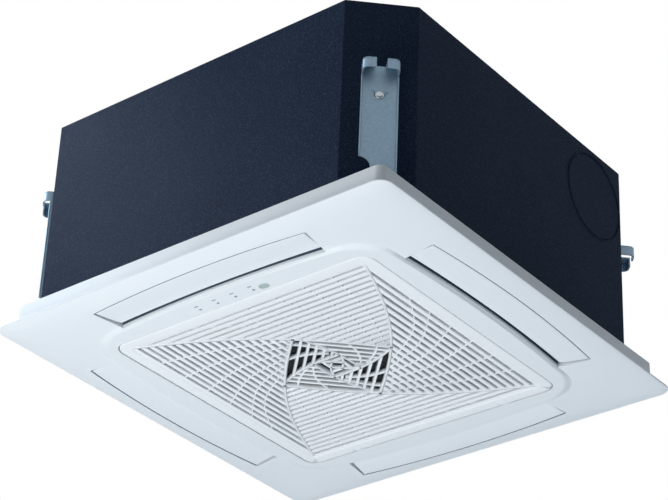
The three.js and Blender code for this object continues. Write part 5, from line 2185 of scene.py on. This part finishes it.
@dataclass
class Studio:
    """The pale floor, the light and the camera."""

    floor_height: float = -2.6
    floor_reach: float = 90.0
    floor_tone: Colour = (0.86, 0.88, 0.9)
    floor_roughness: float = 0.8
    floor_glow: float = 0.72
    ambient: Colour = (0.76, 0.88, 1.0)
    ambient_strength: float = 0.22
    camera_place: Point = (1.647449, -2.011654, -1.403075)
    camera_right: Point = (0.784777628, 0.618651228, 0.037346116)
    camera_up: Point = (0.296549784, -0.427728307, 0.853877463)
    camera_back: Point = (0.544226332, -0.659028947, -0.519132494)
    lens: float = 124.52
    sensor: float = 36.0

    lamps: tuple[SoftLamp, ...] = (
        SoftLamp("key_lamp", (-0.45, -1.35, -1.05), (0.0, 0.0, 0.0), 0.7, 10.8,
                 (1.0, 0.99, 0.97)),
        SoftLamp("fill_lamp", (0.1, -0.3, -2.4), (0.0, 0.0, 0.0), 2.0, 28.5,
                 (0.88, 0.95, 1.0)),
        SoftLamp("side_lamp", (-0.8, -0.56, 0.68), (-0.27, -0.29, 0.25), 0.4, 8.2,
                 (0.80, 0.90, 1.0)),
        SoftLamp("back_lamp", (-1.2, 2.0, 1.6), (0.0, 0.0, 0.15), 1.4, 60.0,
                 (0.97, 0.98, 1.0)),
    )

    def world(self) -> None:
        """Makes a soft surround that the camera, metal and glass see as white."""
        world = bpy.data.worlds.new("surround")
        world.use_nodes = True
        desk = NodeDesk(world.node_tree)
        soft = world.node_tree.nodes["Background"]
        desk.feed(soft, {"Color": (*self.ambient, 1.0), "Strength": self.ambient_strength})
        white = desk.add("Background", {"Color": (1.0, 1.0, 1.0, 1.0), "Strength": 1.0})
        rays = desk.add("LightPath").outputs
        seen = desk.maths("MAXIMUM", rays["Is Camera Ray"],
                          desk.maths("MAXIMUM", rays["Is Glossy Ray"],
                                     rays["Is Transmission Ray"]))
        mix = desk.add("MixShader", {0: seen, 1: soft.outputs[0], 2: white.outputs[0]})
        desk.feed(world.node_tree.nodes["World Output"], {"Surface": mix.outputs[0]})
        bpy.context.scene.world = world

    def floor(self) -> None:
        """Lays a pale floor that is see-through from below."""
        made = bpy.data.meshes.new("floor")
        r, z = self.floor_reach, self.floor_height
        made.from_pydata([(-r, -r, z), (r, -r, z), (r, r, z), (-r, r, z)], [], [(0, 1, 2, 3)])
        plane = bpy.data.objects.new("floor", made)
        bpy.context.scene.collection.objects.link(plane)
        paint = bpy.data.materials.new("floor_paint")
        paint.use_nodes = True
        desk = NodeDesk(paint.node_tree)
        shader = paint.node_tree.nodes["Principled BSDF"]
        desk.feed(shader, {"Base Color": (*self.floor_tone, 1.0),
                           "Roughness": self.floor_roughness})
        glow = desk.add("Emission", {"Color": (1.0, 1.0, 1.0, 1.0), "Strength": 1.0})
        clear = desk.add("BsdfTransparent")
        share = desk.maths("MULTIPLY", desk.add("LightPath").outputs["Is Camera Ray"],
                           self.floor_glow)
        lit = desk.add("MixShader", {0: share, 1: shader.outputs[0], 2: glow.outputs[0]})
        back = desk.add("NewGeometry").outputs["Backfacing"]
        seen = desk.add("MixShader", {0: back, 1: lit.outputs[0], 2: clear.outputs[0]})
        desk.feed(paint.node_tree.nodes["Material Output"], {"Surface": seen.outputs[0]})
        made.materials.append(paint)

    def camera(self) -> None:
        """Sets the camera where the photograph was taken."""
        lens = bpy.data.cameras.new("camera")
        lens.sensor_fit = "HORIZONTAL"
        lens.sensor_width = self.sensor
        lens.lens = self.lens
        camera = bpy.data.objects.new("camera", lens)
        axes = Matrix((self.camera_right, self.camera_up, self.camera_back)).transposed()
        camera.matrix_world = Matrix.Translation(self.camera_place) @ axes.to_4x4()
        bpy.context.scene.collection.objects.link(camera)
        bpy.context.scene.camera = camera

    def build(self) -> None:
        """Sets up the whole studio."""
        self.world()
        self.floor()
        for lamp in self.lamps:
            lamp.build()
        self.camera()
        bpy.context.scene.view_settings.view_transform = "Standard"


def main() -> None:
    """Builds the studio and every piece."""
    logging.basicConfig(level=logging.INFO, format="%(message)s")
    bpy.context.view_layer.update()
    Studio().build()
    casing = Casing()
    casing.build()
    for hanger in (Hanger("near", -45.0, casing.near, 20.0),
                   Hanger("right", 45.0, casing.right, 25.0),
                   Hanger("far", 135.0, casing.far, 20.0),
                   Hanger("left", 225.0, casing.left, 13.0)):
        hanger.build(casing.half)
    panel, lamps = Panel(), SignalLamps()
    panel.build(lamps)
    Flap(panel).build()
    lamps.build()
    PinwheelGrille().build()
    AirFilter().build()
    AirPath().build()
    Services().build()


if __name__ == "__main__":
    main()
